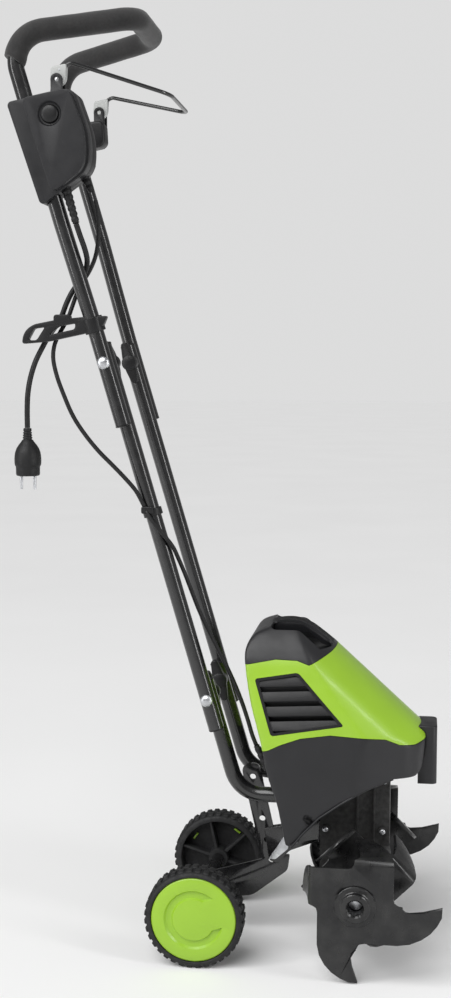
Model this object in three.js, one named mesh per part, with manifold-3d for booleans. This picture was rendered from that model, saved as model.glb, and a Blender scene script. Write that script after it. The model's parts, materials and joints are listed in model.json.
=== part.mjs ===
// Electric garden tiller: a two-wheeled cultivator with a folding tube handle.
// Millimetres, +X forward (the way the machine is pushed), +Y to the operator's left, +Z up.
// Inside the model X = 0 is the wheel axle; the outer group then centres the machine over its footprint.
import * as THREE from 'three';
import { mergeVertices } from 'three/addons/utils/BufferGeometryUtils.js';
import Module from 'manifold-3d';

const wasm = await Module();
wasm.setup();

// ---- Driving dimensions -------------------------------------------------------------------------

const FIT = 0.3;                  // clearance between neighbouring pieces
const SIDES = { right: -1, left: 1 };

// Ground contact: the machine stands on two wheels and on the tips of its tines.
const WHEEL_RADIUS = 70;
const WHEEL_WIDTH = 35;
const WHEEL_MIDDLE = 125;         // each wheel's middle plane, from the machine's centre plane
const TINE_RADIUS = 116;
const TINE_X = 226;
const FOOTPRINT_MIDDLE = 41.13;    // middle of the machine's length, from the wheel axle

// Handle tubes: 22 mm steel, three lengths a side, side by side where they are bolted.
const TUBE_RADIUS = 11;
const TUBE_BORE = 9.5;
const LOWER_Y = 58.9;
const MIDDLE_Y = 82.5;
const UPPER_Y = 106.1;
const FLARED_Y = 121;
const HANDLE_SLOPE = -0.2935;     // the handle leans back this much for each millimetre up
const LOWER_FOLD = { x: 12, z: 370 };
const UPPER_FOLD_Z = 842;
const onHandle = (z) => LOWER_FOLD.x + HANDLE_SLOPE * (z - LOWER_FOLD.z);
const HANDLE_LEAN = Math.atan(-HANDLE_SLOPE);

// Grip loop at the top of the handle.
const GRIP_BEND = new THREE.Vector2(-255.6, 1282.4);
const GRIP_FRONT = new THREE.Vector2(-88, 1312.6);
const GRIP_FRONT_Y = 66;
const FOAM_RADIUS = 15.5;
const FOAM_START_Z = 1247;

// Switch box on the right-hand tube, and the bail that works it.
const BOX_INNER = 97;
const BOX_SPLIT = 121;
const BOX_OUTER = 147;
const BUTTON = { x: -190, z: 1172 };
const BAIL_PIVOT = { x: -183, z: 1219 };
const BAIL_Y = 127;

// Motor, worm gear and gearbox.
const WORM_X = 186;
const DECK_Z = 264;
const GEARBOX_HALF = 30;

// Wheel carrier: a flat perforated bar with an arm back to the axle.
const BAR_TOP_HOLE = new THREE.Vector2(67, 236);
const BAR_STEP = new THREE.Vector2(7.05, -31.2);
const BAR_HOLES = 5;
const BAR_HALF_WIDTH = 13.5;
const BAR_HALF_THICK = 2.5;

// Flexible leads.
const MAINS_RADIUS = 3.75;
const LEAD_RADIUS = 3;

// ---- Finishes -----------------------------------------------------------------------------------

const FINISH = {
  green: { color: 0x9cc83c, roughness: 0.38, metalness: 0 },
  darkPlastic: { color: 0x3e3e41, roughness: 0.5, metalness: 0 },
  blackPlastic: { color: 0x1d1d1f, roughness: 0.55, metalness: 0 },
  greyPlastic: { color: 0x9b9d9b, roughness: 0.5, metalness: 0 },
  blackTube: { color: 0x141415, roughness: 0.25, metalness: 0.3 },
  foam: { color: 0x232325, roughness: 0.95, metalness: 0 },
  zinc: { color: 0xc4c6c8, roughness: 0.3, metalness: 1 },
  tineSteel: { color: 0x5a5957, roughness: 0.42, metalness: 0.7 },
  castAlloy: { color: 0x4b4a48, roughness: 0.6, metalness: 0.5 },
  rubber: { color: 0x161617, roughness: 0.8, metalness: 0 },
  copper: { color: 0xa8653a, roughness: 0.4, metalness: 1 },
  brass: { color: 0xb99a52, roughness: 0.35, metalness: 1 },
};

// ---- Solids, cuts and joins ---------------------------------------------------------------------

function solid(geometry) {
  const bare = geometry.clone();
  bare.deleteAttribute('normal');
  bare.deleteAttribute('uv');
  const merged = mergeVertices(bare, 1e-4);
  return new wasm.Manifold(new wasm.Mesh({
    numProp: 3,
    vertProperties: new Float32Array(merged.attributes.position.array),
    triVerts: new Uint32Array(merged.index.array),
  }));
}

function geometryOf(body) {
  const mesh = body.getMesh();
  const geometry = new THREE.BufferGeometry();
  geometry.setAttribute('position', new THREE.BufferAttribute(mesh.vertProperties, 3));
  geometry.setIndex(new THREE.BufferAttribute(mesh.triVerts, 1));
  geometry.computeVertexNormals();
  return geometry;
}

const join = (first, ...others) => others.reduce((body, other) => body.add(other), first);
const cut = (first, ...others) => others.reduce((body, other) => body.subtract(other), first);
const common = (first, ...others) => others.reduce((body, other) => body.intersect(other), first);

function block([x0, x1], [y0, y1], [z0, z1]) {
  const box = new THREE.BoxGeometry(x1 - x0, y1 - y0, z1 - z0);
  return solid(box.translate((x0 + x1) / 2, (y0 + y1) / 2, (z0 + z1) / 2));
}

function rod(from, to, radius, sides = 16, endRadius = radius) {
  const start = new THREE.Vector3(...from);
  const end = new THREE.Vector3(...to);
  const direction = end.clone().sub(start);
  const geometry = new THREE.CylinderGeometry(endRadius, radius, direction.length(), sides);
  const turn = new THREE.Quaternion().setFromUnitVectors(new THREE.Vector3(0, 1, 0), direction.normalize());
  geometry.applyQuaternion(turn);
  geometry.translate(...start.add(end).multiplyScalar(0.5).toArray());
  return solid(geometry);
}

const rodY = (radius, x, z, y0, y1, sides = 16) => rod([x, y0, z], [x, y1, z], radius, sides);
const rodZ = (radius, x, y, z0, z1, sides = 16) => rod([x, y, z0], [x, y, z1], radius, sides);

// A closed outline with each corner cut back by its round and joined by a curve.
function outline(points, rounds = 0) {
  const shape = new THREE.Shape();
  const corners = points.map(([x, y]) => new THREE.Vector2(x, y));
  corners.forEach((corner, i) => {
    const before = corners[(i + corners.length - 1) % corners.length].clone().sub(corner);
    const after = corners[(i + 1) % corners.length].clone().sub(corner);
    const wanted = Array.isArray(rounds) ? rounds[i] : rounds;
    const reach = Math.min(wanted, before.length() * 0.49, after.length() * 0.49);
    const entry = corner.clone().add(before.setLength(reach || 1e-9));
    const exit = corner.clone().add(after.setLength(reach || 1e-9));
    const move = i === 0 ? 'moveTo' : 'lineTo';
    if (reach > 0) {
      shape[move](entry.x, entry.y);
      shape.quadraticCurveTo(corner.x, corner.y, exit.x, exit.y);
    } else {
      shape[move](corner.x, corner.y);
    }
  });
  shape.closePath();
  return shape;
}

// Every edge of an outline moved inwards by the same distance (corners listed clockwise or not).
function inset(points, distance) {
  const corners = points.map(([x, y]) => new THREE.Vector2(x, y));
  const turn = THREE.ShapeUtils.isClockWise(corners) ? -1 : 1;
  const edges = corners.map((corner, i) => {
    const along = corners[(i + 1) % corners.length].clone().sub(corner).normalize();
    const inward = new THREE.Vector2(-along.y, along.x).multiplyScalar(turn * distance);
    return { start: corner.clone().add(inward), along };
  });
  return edges.map((edge, i) => {
    const last = edges[(i + edges.length - 1) % edges.length];
    const gap = edge.start.clone().sub(last.start);
    const travel = gap.cross(edge.along) / last.along.cross(edge.along);
    const corner = last.start.clone().add(last.along.clone().multiplyScalar(travel));
    return [corner.x, corner.y];
  });
}

function extruded(shape, depth, curveSegments = 5) {
  return new THREE.ExtrudeGeometry(shape, { depth, bevelEnabled: false, curveSegments });
}

// Plates whose outline lies in the XZ, YZ and XY planes.
function plateY(shape, y0, y1, curveSegments) {
  return solid(extruded(shape, y1 - y0, curveSegments).rotateX(Math.PI / 2).translate(0, y1, 0));
}

function plateX(shape, x0, x1, curveSegments) {
  const axes = new THREE.Matrix4().makeBasis(
    new THREE.Vector3(0, 1, 0), new THREE.Vector3(0, 0, 1), new THREE.Vector3(1, 0, 0));
  return solid(extruded(shape, x1 - x0, curveSegments).applyMatrix4(axes).translate(x0, 0, 0));
}

const plateZ = (shape, z0, z1, curveSegments) =>
  solid(extruded(shape, z1 - z0, curveSegments).translate(0, 0, z0));

// A route whose stations are used one by one when a section is swept along it.
class Route extends THREE.Curve {
  constructor(points) {
    super();
    this.points = points;
  }

  getPointAt(u) {
    return this.points[Math.round(u * (this.points.length - 1))].clone();
  }

  getTangentAt(u) {
    const last = this.points.length - 1;
    const i = Math.round(u * last);
    const from = this.points[Math.max(i - 1, 0)];
    const to = this.points[Math.min(i + 1, last)];
    const into = this.points[i].clone().sub(from).normalize();
    const onward = to.clone().sub(this.points[i]).normalize();
    return into.add(onward).normalize();
  }
}

// Stations along a bent tube: straight runs joined by arcs of the given bend radii.
function bentRoute(points, radii, stepDegrees = 24) {
  const corners = points.map((p) => new THREE.Vector3(...p));
  const stations = [corners[0]];
  for (let i = 1; i < corners.length - 1; i += 1) {
    const into = corners[i].clone().sub(corners[i - 1]).normalize();
    const onward = corners[i + 1].clone().sub(corners[i]).normalize();
    const angle = into.angleTo(onward);
    const radius = radii[i - 1];
    const start = corners[i].clone().addScaledVector(into, -radius * Math.tan(angle / 2));
    const middle = onward.clone().sub(into).normalize();
    const centre = corners[i].clone().addScaledVector(middle, radius / Math.cos(angle / 2));
    const axis = into.clone().cross(onward).normalize();
    const steps = Math.max(1, Math.ceil(THREE.MathUtils.radToDeg(angle) / stepDegrees));
    for (let k = 0; k <= steps; k += 1) {
      const spoke = start.clone().sub(centre).applyAxisAngle(axis, (angle * k) / steps);
      stations.push(centre.clone().add(spoke));
    }
  }
  stations.push(corners[corners.length - 1]);
  return new Route(stations);
}

// Stations at an even pitch along a smooth curve through chosen points, for flexible leads.
function smoothRoute(points, pitch) {
  const curve = new THREE.CatmullRomCurve3(points.map((p) => new THREE.Vector3(...p)), false, 'centripetal');
  return new Route(curve.getSpacedPoints(Math.ceil(curve.getLength() / pitch)));
}

function sweep(route, radius, bore = 0, sides = 12) {
  const section = new THREE.Shape(circlePoints(radius, sides));
  if (bore > 0) section.holes.push(new THREE.Path(circlePoints(bore, sides)));
  const geometry = new THREE.ExtrudeGeometry(section, {
    steps: route.points.length - 1, bevelEnabled: false, extrudePath: route,
  });
  return solid(geometry);
}

function circlePoints(radius, sides) {
  return Array.from({ length: sides }, (_, i) => {
    const angle = (2 * Math.PI * (i + 0.5)) / sides;
    return new THREE.Vector2(radius * Math.cos(angle), radius * Math.sin(angle));
  });
}

function between(side, near, far) {
  return side < 0 ? [-far, -near] : [near, far];
}

// ---- Scene graph --------------------------------------------------------------------------------

const machine = new THREE.Group();

function assembly() {
  const group = new THREE.Group();
  machine.add(group);
  return group;
}

function add(group, name, body, finish) {
  const mesh = new THREE.Mesh(geometryOf(body), new THREE.MeshStandardMaterial(FINISH[finish]));
  mesh.name = name;
  group.add(mesh);
  return mesh;
}

// ---- Handle -------------------------------------------------------------------------------------

const handle = assembly();

function handlePoint(side, y, z) {
  return [onHandle(z), side * y, z];
}

function upperHandleRoute() {
  const half = (side) => [
    handlePoint(side, UPPER_Y, 756),
    handlePoint(side, UPPER_Y, 880),
    handlePoint(side, FLARED_Y, 1030),
    [GRIP_BEND.x, side * FLARED_Y, GRIP_BEND.y],
    [GRIP_FRONT.x, side * GRIP_FRONT_Y, GRIP_FRONT.y],
  ];
  return bentRoute([...half(-1), ...half(1).reverse()], [120, 120, 45, 32, 32, 45, 120, 120]);
}

function foamGrip() {
  const ends = [-1, 1].map((side) => new THREE.Vector3(...handlePoint(side, FLARED_Y, FOAM_START_Z)));
  const kept = upperHandleRoute().points.filter((p) => p.z > FOAM_START_Z + 1);
  const sleeve = sweep(new Route([ends[0], ...kept, ends[1]]), FOAM_RADIUS);
  return cut(sleeve, sweep(upperHandleRoute(), TUBE_RADIUS + FIT));
}

const foldHole = (x, z) => rodY(4.4, x, z, -130, 130, 10);

add(handle, 'upper_handle_tube',
  cut(sweep(upperHandleRoute(), TUBE_RADIUS, TUBE_BORE), foldHole(onHandle(UPPER_FOLD_Z), UPPER_FOLD_Z)),
  'blackTube');
add(handle, 'foam_grip', foamGrip(), 'foam');

function middleTube(side) {
  const route = new Route([handlePoint(side, MIDDLE_Y, 868), handlePoint(side, MIDDLE_Y, 327)]
    .map((p) => new THREE.Vector3(...p)));
  const tube = sweep(route, TUBE_RADIUS, TUBE_BORE);
  return cut(tube, foldHole(onHandle(UPPER_FOLD_Z), UPPER_FOLD_Z), foldHole(LOWER_FOLD.x, LOWER_FOLD.z));
}

const LOWER_TUBE_END_X = 150;
const LOWER_TUBE_Z = 228;

function lowerTube(side) {
  const route = bentRoute([
    handlePoint(side, LOWER_Y, 392),
    handlePoint(side, LOWER_Y, LOWER_TUBE_Z),
    [LOWER_TUBE_END_X, side * LOWER_Y, LOWER_TUBE_Z],
  ], [45]);
  return cut(sweep(route, TUBE_RADIUS, TUBE_BORE), foldHole(LOWER_FOLD.x, LOWER_FOLD.z));
}

// A carriage bolt through two neighbouring tubes, its dome outside, at the mesh's own origin.
const BOLT_LENGTH = 65;
function foldBolt(side) {
  const dome = new THREE.SphereGeometry(9, 14, 8).scale(1, 0.55, 1).translate(0, side * 1, 0);
  const domeHalf = common(solid(dome), block([-12, 12], between(side, 0, 12), [-12, 12]));
  const shank = rodY(3.9, 0, 0, ...between(side, -BOLT_LENGTH, 1), 8);
  return join(domeHalf, shank);
}

// A two-winged plastic nut on the bolt's inner end, its wings along the tube.
const WING_REACH = 30;
function foldKnob(side) {
  const hub = rodY(11.5, 0, 0, ...between(side, -17, 0), 20);
  const wings = plateY(outline([[-WING_REACH, -5], [0, -9], [WING_REACH, -5],
    [WING_REACH, 5], [0, 9], [-WING_REACH, 5]], 3), ...between(side, -15, -4));
  const turned = new THREE.Matrix4().makeRotationY(Math.PI / 2 - HANDLE_LEAN);
  const body = geometryOf(cut(join(hub, wings), rodY(4.3, 0, 0, -30, 30, 12)));
  return solid(body.applyMatrix4(turned));
}

for (const [name, side] of Object.entries(SIDES)) {
  add(handle, `middle_tube_${name}`, middleTube(side), 'blackTube');
  add(handle, `lower_tube_${name}`, lowerTube(side), 'blackTube');
  for (const [fold, x, z, outer] of [
    ['upper', onHandle(UPPER_FOLD_Z), UPPER_FOLD_Z, UPPER_Y],
    ['lower', LOWER_FOLD.x, LOWER_FOLD.z, MIDDLE_Y],
  ]) {
    const inner = outer - (UPPER_Y - MIDDLE_Y) - TUBE_RADIUS;
    const bolt = add(handle, `${fold}_fold_bolt_${name}`, foldBolt(side), 'zinc');
    bolt.position.set(x, side * (outer + TUBE_RADIUS + FIT), z);
    const knob = add(handle, `${fold}_fold_knob_${name}`, foldKnob(side), 'blackPlastic');
    knob.position.set(x, side * (inner - FIT), z);
  }
}

// ---- Switch box and bail ------------------------------------------------------------------------

const controls = assembly();
const BOX_OUTLINE = [[-252, 1190], [-160, 1208], [-134, 1134], [-142, 1097], [-206, 1052]];
const BOX_ROUNDS = [8, 14, 22, 14, 8];
const BOX_WALL = 3;

// The handle tube's own way through the switch box and the left-hand pivot housing.
function tubeWay(side, clearance) {
  return rod(handlePoint(side, FLARED_Y, 1035), handlePoint(side, FLARED_Y, 1240), TUBE_RADIUS + clearance, 20);
}

function boxHalf(near, far, cavityNear, cavityFar) {
  const shell = plateY(outline(BOX_OUTLINE, BOX_ROUNDS), -far, -near);
  const cavity = plateY(outline(inset(BOX_OUTLINE, BOX_WALL), 8), -cavityFar, -cavityNear);
  return { shell, cavity };
}

// An ear that holds one end of a bail pivot, standing on the top of its housing.
function pivotEar(y0, y1, foot) {
  const { x, z } = BAIL_PIVOT;
  const ear = join(rodY(8, x, z, y0, y1), block([x - 8, x + 8], [y0, y1], [foot, z]));
  return cut(ear, rodY(3.4, x, z, y0 - 1, y1 + 1, 12));
}

function switchBoxBase() {
  const { shell, cavity } = boxHalf(BOX_INNER, BOX_SPLIT - FIT / 2, BOX_INNER + BOX_WALL, BOX_OUTER);
  const ear = pivotEar(-120, -116, 1198);
  const leadHole = rod([-158, -108, 1106], [-142, -108, 1072], LEAD_RADIUS + 3.4, 16);
  return cut(join(cut(shell, cavity), ear), tubeWay(-1, FIT), leadHole);
}

function switchBoxCover() {
  const { shell, cavity } = boxHalf(BOX_SPLIT + FIT / 2, BOX_OUTER, 0, BOX_OUTER - BOX_WALL);
  const raised = plateY(outline(inset(BOX_OUTLINE, 9), 12), -BOX_OUTER - 4, -BOX_OUTER + 1);
  const { x, z } = BUTTON;
  const button = join(rodY(17, x, z, -BOX_OUTER - 5, -BOX_OUTER, 20), rodY(12.5, x, z, -160, -130, 20));
  const ear = pivotEar(-138, -134, 1198);
  const rim = rodY(20, x, z, -BOX_OUTER, -BOX_OUTER + 4, 20);
  return cut(join(cut(shell, cavity), raised, ear, common(rim, shell)), button, tubeWay(-1, FIT));
}

function lockOffButton() {
  const { x, z } = BUTTON;
  return join(rodY(12, x, z, -152, -141, 20), rodY(14.5, x, z, -142.4, -139.5, 20));
}

// A coil of round wire about the Y axis, from one height to another.
function coil({ x, z }, y0, y1, radius, wire, turns) {
  const steps = turns * 8;
  const stations = Array.from({ length: steps + 1 }, (_, i) => {
    const angle = (2 * Math.PI * turns * i) / steps;
    return new THREE.Vector3(
      x + radius * Math.cos(angle), y0 + ((y1 - y0) * i) / steps, z + radius * Math.sin(angle));
  });
  return sweep(new Route(stations), wire, 0, 5);
}

function bailRoute() {
  const half = (side) => [
    [-180, side * BAIL_Y, 1228],
    [-168, side * BAIL_Y, 1243],
    [-40, side * 72, 1207],
  ];
  return bentRoute([...half(-1), ...half(1).reverse()], [12, 25, 25, 12]);
}

const BAIL_WIRE = 2.75;

// The pivot piece on each end of the bail, with stub pins that turn in the ears.
function bailClip(side) {
  const { x, z } = BAIL_PIVOT;
  const body = join(
    rodY(11.5, x, z, ...between(side, 121, 133)),
    plateY(outline([[x - 11, z + 2], [x - 7, z + 19], [x + 14, z + 21], [x + 11, z - 2]], 4),
      ...between(side, 121, 133)),
    rodY(3, x, z, ...between(side, 117, 137), 12));
  return cut(body, sweep(bailRoute(), BAIL_WIRE + FIT, 0, 8));
}

function leftPivotHousing() {
  const body = plateY(outline([[-247, 1200], [-174, 1206], [-172, 1168], [-236, 1156]], 8), 106, 136);
  const ears = [pivotEar(116, 120, 1198), pivotEar(134, 138, 1198)];
  return cut(join(body, ...ears), tubeWay(1, FIT));
}

// Points on the axis of the mains cord's strain relief, by height.
const reliefAxis = (z) => [-160.6 - 0.288 * (z - 1030), -FLARED_Y - 5, z];

function mainsRelief() {
  return cut(join(rod(reliefAxis(1080), reliefAxis(1030), 6.2, 16, 4.9),
    rod(reliefAxis(1083), reliefAxis(1078), 7.4)),
  rod(reliefAxis(1109), reliefAxis(1015), MAINS_RADIUS + FIT, 12));
}

function motorLeadGland() {
  return cut(rod([-157, -108, 1104], [-143, -108, 1074], LEAD_RADIUS + 3, 16),
    rod([-161, -108, 1113], [-138, -108, 1063], LEAD_RADIUS + FIT, 12));
}

const mainsReliefWay = rod(reliefAxis(1084), reliefAxis(1030), 7.8, 16, 6);

add(controls, 'switch_box_base', cut(switchBoxBase(), mainsReliefWay), 'blackPlastic');
add(controls, 'switch_box_cover', cut(switchBoxCover(), mainsReliefWay), 'darkPlastic');
add(controls, 'lock_off_button', lockOffButton(), 'blackPlastic');
add(controls, 'lock_off_spring', coil(BUTTON, -138.6, -126, 9, 0.7, 4), 'zinc');
add(controls, 'micro_switch', block([-176, -150], [-118, -103], [1128, 1146]), 'blackPlastic');
add(controls, 'bail_lever', sweep(bailRoute(), BAIL_WIRE, 0, 8), 'blackTube');
for (const [name, side] of Object.entries(SIDES)) {
  add(controls, `bail_clip_${name}`, bailClip(side), 'greyPlastic');
}
add(controls, 'bail_housing_left', leftPivotHousing(), 'blackPlastic');
add(controls, 'mains_strain_relief', mainsRelief(), 'rubber');
add(controls, 'motor_lead_gland', motorLeadGland(), 'rubber');

// ---- Leads, plug, hook and clip -----------------------------------------------------------------

const leads = assembly();

const MAINS_POINTS = [
  [-160.6, -126, 1029], [-155, -125, 1012], [-150, -119, 994], [-150, -108, 980], [-156, -98, 966],
  [-166, -95, 952], [-176, -96, 937], [-183, -98, 922], [-189, -99.5, 906], [-197, -99.5, 893],
  [-207, -99.5, 880], [-216, -101, 864], [-225, -106, 844], [-231, -111, 822], [-234, -115, 800],
  [-235, -116, 778], [-235, -116, 752.5],
];
const LEAD_TO_HOOK_POINTS = [
  [-137.6, -108, 1062], [-135, -105, 1044], [-136, -99, 1024], [-139, -91, 1004], [-144, -87, 986],
  [-152, -86, 969], [-162, -87, 953], [-169, -90, 938], [-174, -95, 922], [-179, -99, 906],
  [-186, -99.5, 893], [-193, -99.5, 881.5],
];
const LEAD_LOOP_POINTS = [
  [-193.2, -99.5, 881.1], [-199, -100, 868], [-201, -102, 850], [-196, -104, 826], [-186, -104, 798],
  [-173, -103, 768], [-156, -102, 742], [-137, -101, 719], [-118, -100, 700], [-100, -98, 681],
  [-86, -96, 664], [-77, -95, 647], [-73.5, -95, 640.4],
];
const LEAD_LOWER_POINTS = [
  [-73.0, -95.3, 639.2], [-67, -98, 628], [-57, -99.5, 616], [-46, -97, 602], [-36, -88, 586],
  [-30, -77, 568], [-22, -69, 545], [-13, -66, 520], [-3, -65, 494], [10, -65, 466],
  [24, -66, 439], [38, -67, 412], [50, -68, 386], [60, -69, 361], [68, -69.5, 337], [74, -70, 317],
  [79.7, -70, 302.6],
];

add(leads, 'mains_cord', sweep(smoothRoute(MAINS_POINTS, 13), MAINS_RADIUS, 0, 8), 'rubber');
add(leads, 'motor_lead_upper', sweep(smoothRoute(LEAD_TO_HOOK_POINTS, 13), LEAD_RADIUS, 0, 8), 'rubber');
add(leads, 'motor_lead_loop', sweep(smoothRoute(LEAD_LOOP_POINTS, 15), LEAD_RADIUS, 0, 8), 'rubber');
add(leads, 'motor_lead_lower', sweep(smoothRoute(LEAD_LOWER_POINTS, 15), LEAD_RADIUS, 0, 8), 'rubber');

const PLUG = { x: -235, y: -116, top: 752 };

function plug() {
  const { x, y, top } = PLUG;
  const profile = [[0, 0], [5.4, 0], [6.4, 14], [9, 19], [13, 24], [17.5, 32], [18.6, 40],
    [18.6, 52], [16.8, 54], [16.8, 66], [0, 66]].map(([r, down]) => new THREE.Vector2(r, -down)).reverse();
  const body = solid(new THREE.LatheGeometry(profile, 18).rotateX(Math.PI / 2).translate(x, y, top));
  const pins = [-9.5, 9.5].map((offset) => rodZ(2.4, x + offset, y, top - 85, top - 60, 10));
  return join(body, ...pins);
}

// The hook is a flat plastic plate clamped round the right-hand upper tube.
function cordHook() {
  const plate = plateY(outline([[-241, 868], [-239, 882], [-228, 894], [-192, 901], [-150, 905],
    [-121, 906], [-127, 891], [-152, 882], [-205, 871]], [4, 6, 8, 6, 6, 3, 6, 6, 4]), -118, -106);
  const slots = [
    plateY(outline([[-233, 873], [-224, 889], [-208, 891], [-220, 873]], 3), -119, -104),
    plateY(outline([[-203, 880], [-190, 892], [-165, 896], [-166, 888]], 3), -119, -104),
  ];
  const lip = block([-196, -172], [-118, -108], [896, 908]);
  const clamp = rod(handlePoint(-1, 106.6, 884), handlePoint(-1, 108.5, 904), TUBE_RADIUS + 3.4, 16);
  const tube = sweep(upperHandleRoute(), TUBE_RADIUS + FIT);
  return cut(join(cut(plate, ...slots), lip, clamp), tube);
}

const CLIP_Z = 634;
function cableClip() {
  const ring = rod(handlePoint(-1, MIDDLE_Y, CLIP_Z - 5), handlePoint(-1, MIDDLE_Y, CLIP_Z + 5), TUBE_RADIUS + 2.6, 16);
  const lug = block([-79, -62], [-99, -84], [633, 643]);
  const tube = rod(handlePoint(-1, MIDDLE_Y, 600), handlePoint(-1, MIDDLE_Y, 670), TUBE_RADIUS + FIT, 16);
  const leadWay = sweep(smoothRoute([[-79, -95.5, 653], [-73.2, -95.2, 640], [-66, -98.3, 627]], 6),
    LEAD_RADIUS + FIT * 2, 0, 8);
  return cut(join(ring, lug), tube, leadWay);
}

add(leads, 'plug', plug(), 'rubber');
add(leads, 'cord_hook', cordHook(), 'blackPlastic');
add(leads, 'cable_clip', cableClip(), 'blackPlastic');

// ---- Hood, cap and skirt ------------------------------------------------------------------------

const housing = assembly();
const WALL = 3;

const SIDE_OUTLINE = [[62, 448], [78, 463], [112, 476], [146, 472], [190, 439], [302, 337], [319, 322],
  [312, 262], [272, 259], [235, 247], [201, 230], [168, 206], [145, 182], [130, 163], [124, 168],
  [112, 230], [99, 262], [88, 314], [72, 371], [64, 421]];
const END_OUTLINE = [[104, 150], [104, 262], [98, 322], [88, 400], [78, 444], [50, 474], [20, 482],
  [-20, 482], [-50, 474], [-78, 444], [-88, 400], [-98, 322], [-104, 262], [-104, 150]];
const PLAN_OUTLINE = [[50, -66], [84, -106], [210, -108], [302, -70], [324, -34],
  [324, 34], [302, 70], [210, 108], [84, 106], [50, 66]];

// The long slope is crowned across: half its section, as distance from the middle and fall.
const SLOPE = { top: [190, 439], foot: [302, 337] };
const CROWN = [[118, -420], [104, -66], [80, -28], [55, -12], [30, -3]];

function crownedSlope(wall) {
  const top = new THREE.Vector3(SLOPE.top[0], 0, SLOPE.top[1]);
  const down = new THREE.Vector3(SLOPE.foot[0], 0, SLOPE.foot[1]).sub(top).normalize();
  const across = new THREE.Vector3(0, 1, 0);
  const place = new THREE.Matrix4()
    .makeBasis(across, new THREE.Vector3().crossVectors(down, across), down)
    .setPosition(top.addScaledVector(down, -260));
  const section = [...CROWN, [0, 0], ...CROWN.map(([y, fall]) => [-y, fall]).reverse()];
  return solid(extruded(outline(inset(section, wall), 8), 560, 1).applyMatrix4(place));
}

// The housing's whole outer form, or the same form moved inwards by a wall's thickness.
function housingForm(wall) {
  return common(
    crownedSlope(wall),
    plateY(outline(inset(SIDE_OUTLINE, wall), 14), -120, 120, 2),
    plateX(outline(inset(END_OUTLINE, wall), 22), 40, 340, 2),
    plateZ(outline(inset(PLAN_OUTLINE, wall), 26), 100, 500, 3));
}

const below = (line, drop) => [...line.map(([x, z]) => [x, z - drop]), [line.at(-1)[0], 0], [line[0][0], 0]];
const above = (line, lift) => [...line.map(([x, z]) => [x, z + lift]), [line.at(-1)[0], 600], [line[0][0], 600]];
const CAP_LINE = [[30, 419], [67, 421], [108, 429], [138, 428], [155, 422], [184, 435], [215, 452],
  [345, 520]];
const GREEN_LINE = [[60, 294], [99, 303], [116, 311], [144, 321], [186, 327], [234, 324], [262, 321],
  [282, 312], [303, 310], [340, 318]];

const outerForm = housingForm(0);
const innerForm = housingForm(WALL);
const shell = cut(outerForm, innerForm);
const bandAbove = (line) => plateY(outline(above(line, FIT)), -130, 130);
const bandBelow = (line) => plateY(outline(below(line, FIT)), -130, 130);

const GRILLE = [[79, 402], [140, 412], [205, 340], [103, 323]];
const grilleWindow = (points, round) => join(
  plateY(outline(points, round), -130, -60), plateY(outline(points, round), 60, 130));

const BUMPER = { x0: 300, x1: 334, half: 30, z0: 250, z1: 334 };

function hood() {
  const { x0, half, z1 } = BUMPER;
  const room = block([x0, 345], [-half - 1, half + 1], [240, z1 - 26]);
  const pocket = block([90, 200], [-54, 54], [426, 500]);
  return cut(common(shell, bandAbove(GREEN_LINE), bandBelow(CAP_LINE)), grilleWindow(GRILLE, 4), room, pocket);
}

// The cap has a hand-hold: a wide pocket with a bar across it to carry the machine by.
const POCKET = { x0: 106, x1: 172, half: 44, floor: 434 };

function topCap() {
  const { x0, x1, half, floor } = POCKET;
  const liner = block([x0 - WALL, x1 + WALL], [-half - WALL, half + WALL], [floor - WALL, 500]);
  const hollow = block([x0, x1], [-half, half], [floor, 500]);
  const bar = block([x0 - 10, x1 + 10], [-13, 13], [456, 500]);
  const cavity = cut(innerForm, liner);
  const wholeCap = common(outerForm, bandAbove(CAP_LINE));
  const lined = cut(wholeCap, cavity);
  return join(cut(lined, hollow), common(outerForm, bar));
}

// The space under the deck, open downwards, where the tines turn.
function tineTunnel() {
  const under = DECK_Z - WALL;
  return common(
    plateY(outline([[128, 140], [115, 230], [104, under], [309, under], [309, 140]]), -120, 120),
    plateX(outline(inset(END_OUTLINE, WALL), 22), 40, 340, 2),
    plateZ(outline(inset(PLAN_OUTLINE, WALL), 26), 100, 500, 3));
}

function skirt() {
  const { x0, half, z0, z1 } = BUMPER;
  const walls = common(shell, bandBelow(GREEN_LINE));
  const deck = common(housingForm(WALL / 2), block([60, 330], [-110, 110], [DECK_Z - WALL, DECK_Z]));
  const opened = cut(join(walls, deck), tineTunnel());
  const tubes = Object.values(SIDES).map((side) => rod([70, side * LOWER_Y, LOWER_TUBE_Z],
    [LOWER_TUBE_END_X + 10, side * LOWER_Y, LOWER_TUBE_Z], TUBE_RADIUS + FIT, 20));
  const wormWay = rodZ(13, WORM_X, 0, DECK_Z - 10, DECK_Z + 10);
  const bumperRoom = block([x0 + 6, 345], [-half - FIT, half + FIT], [z0, z1]);
  const glandWay = rod([76, -70, 310], [106, -70, 250], 6.4, 16);
  return cut(opened, ...tubes, wormWay, bumperRoom, glandWay);
}

function frontBumper() {
  const { x0, x1, half, z0, z1 } = BUMPER;
  const outer = plateZ(outline([[x0 + 7, -half], [x1, -half], [x1, half], [x0 + 7, half]], [0, 8, 8, 0]), z0, z1);
  const hollow = block([x0, x1 - WALL], [-half + WALL, half - WALL], [z0 - 5, z1 - WALL]);
  const nose = common(housingForm(-0.6), block([290, 340], [-60, 60], [300, 350]));
  return cut(cut(outer, hollow), nose);
}

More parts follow.
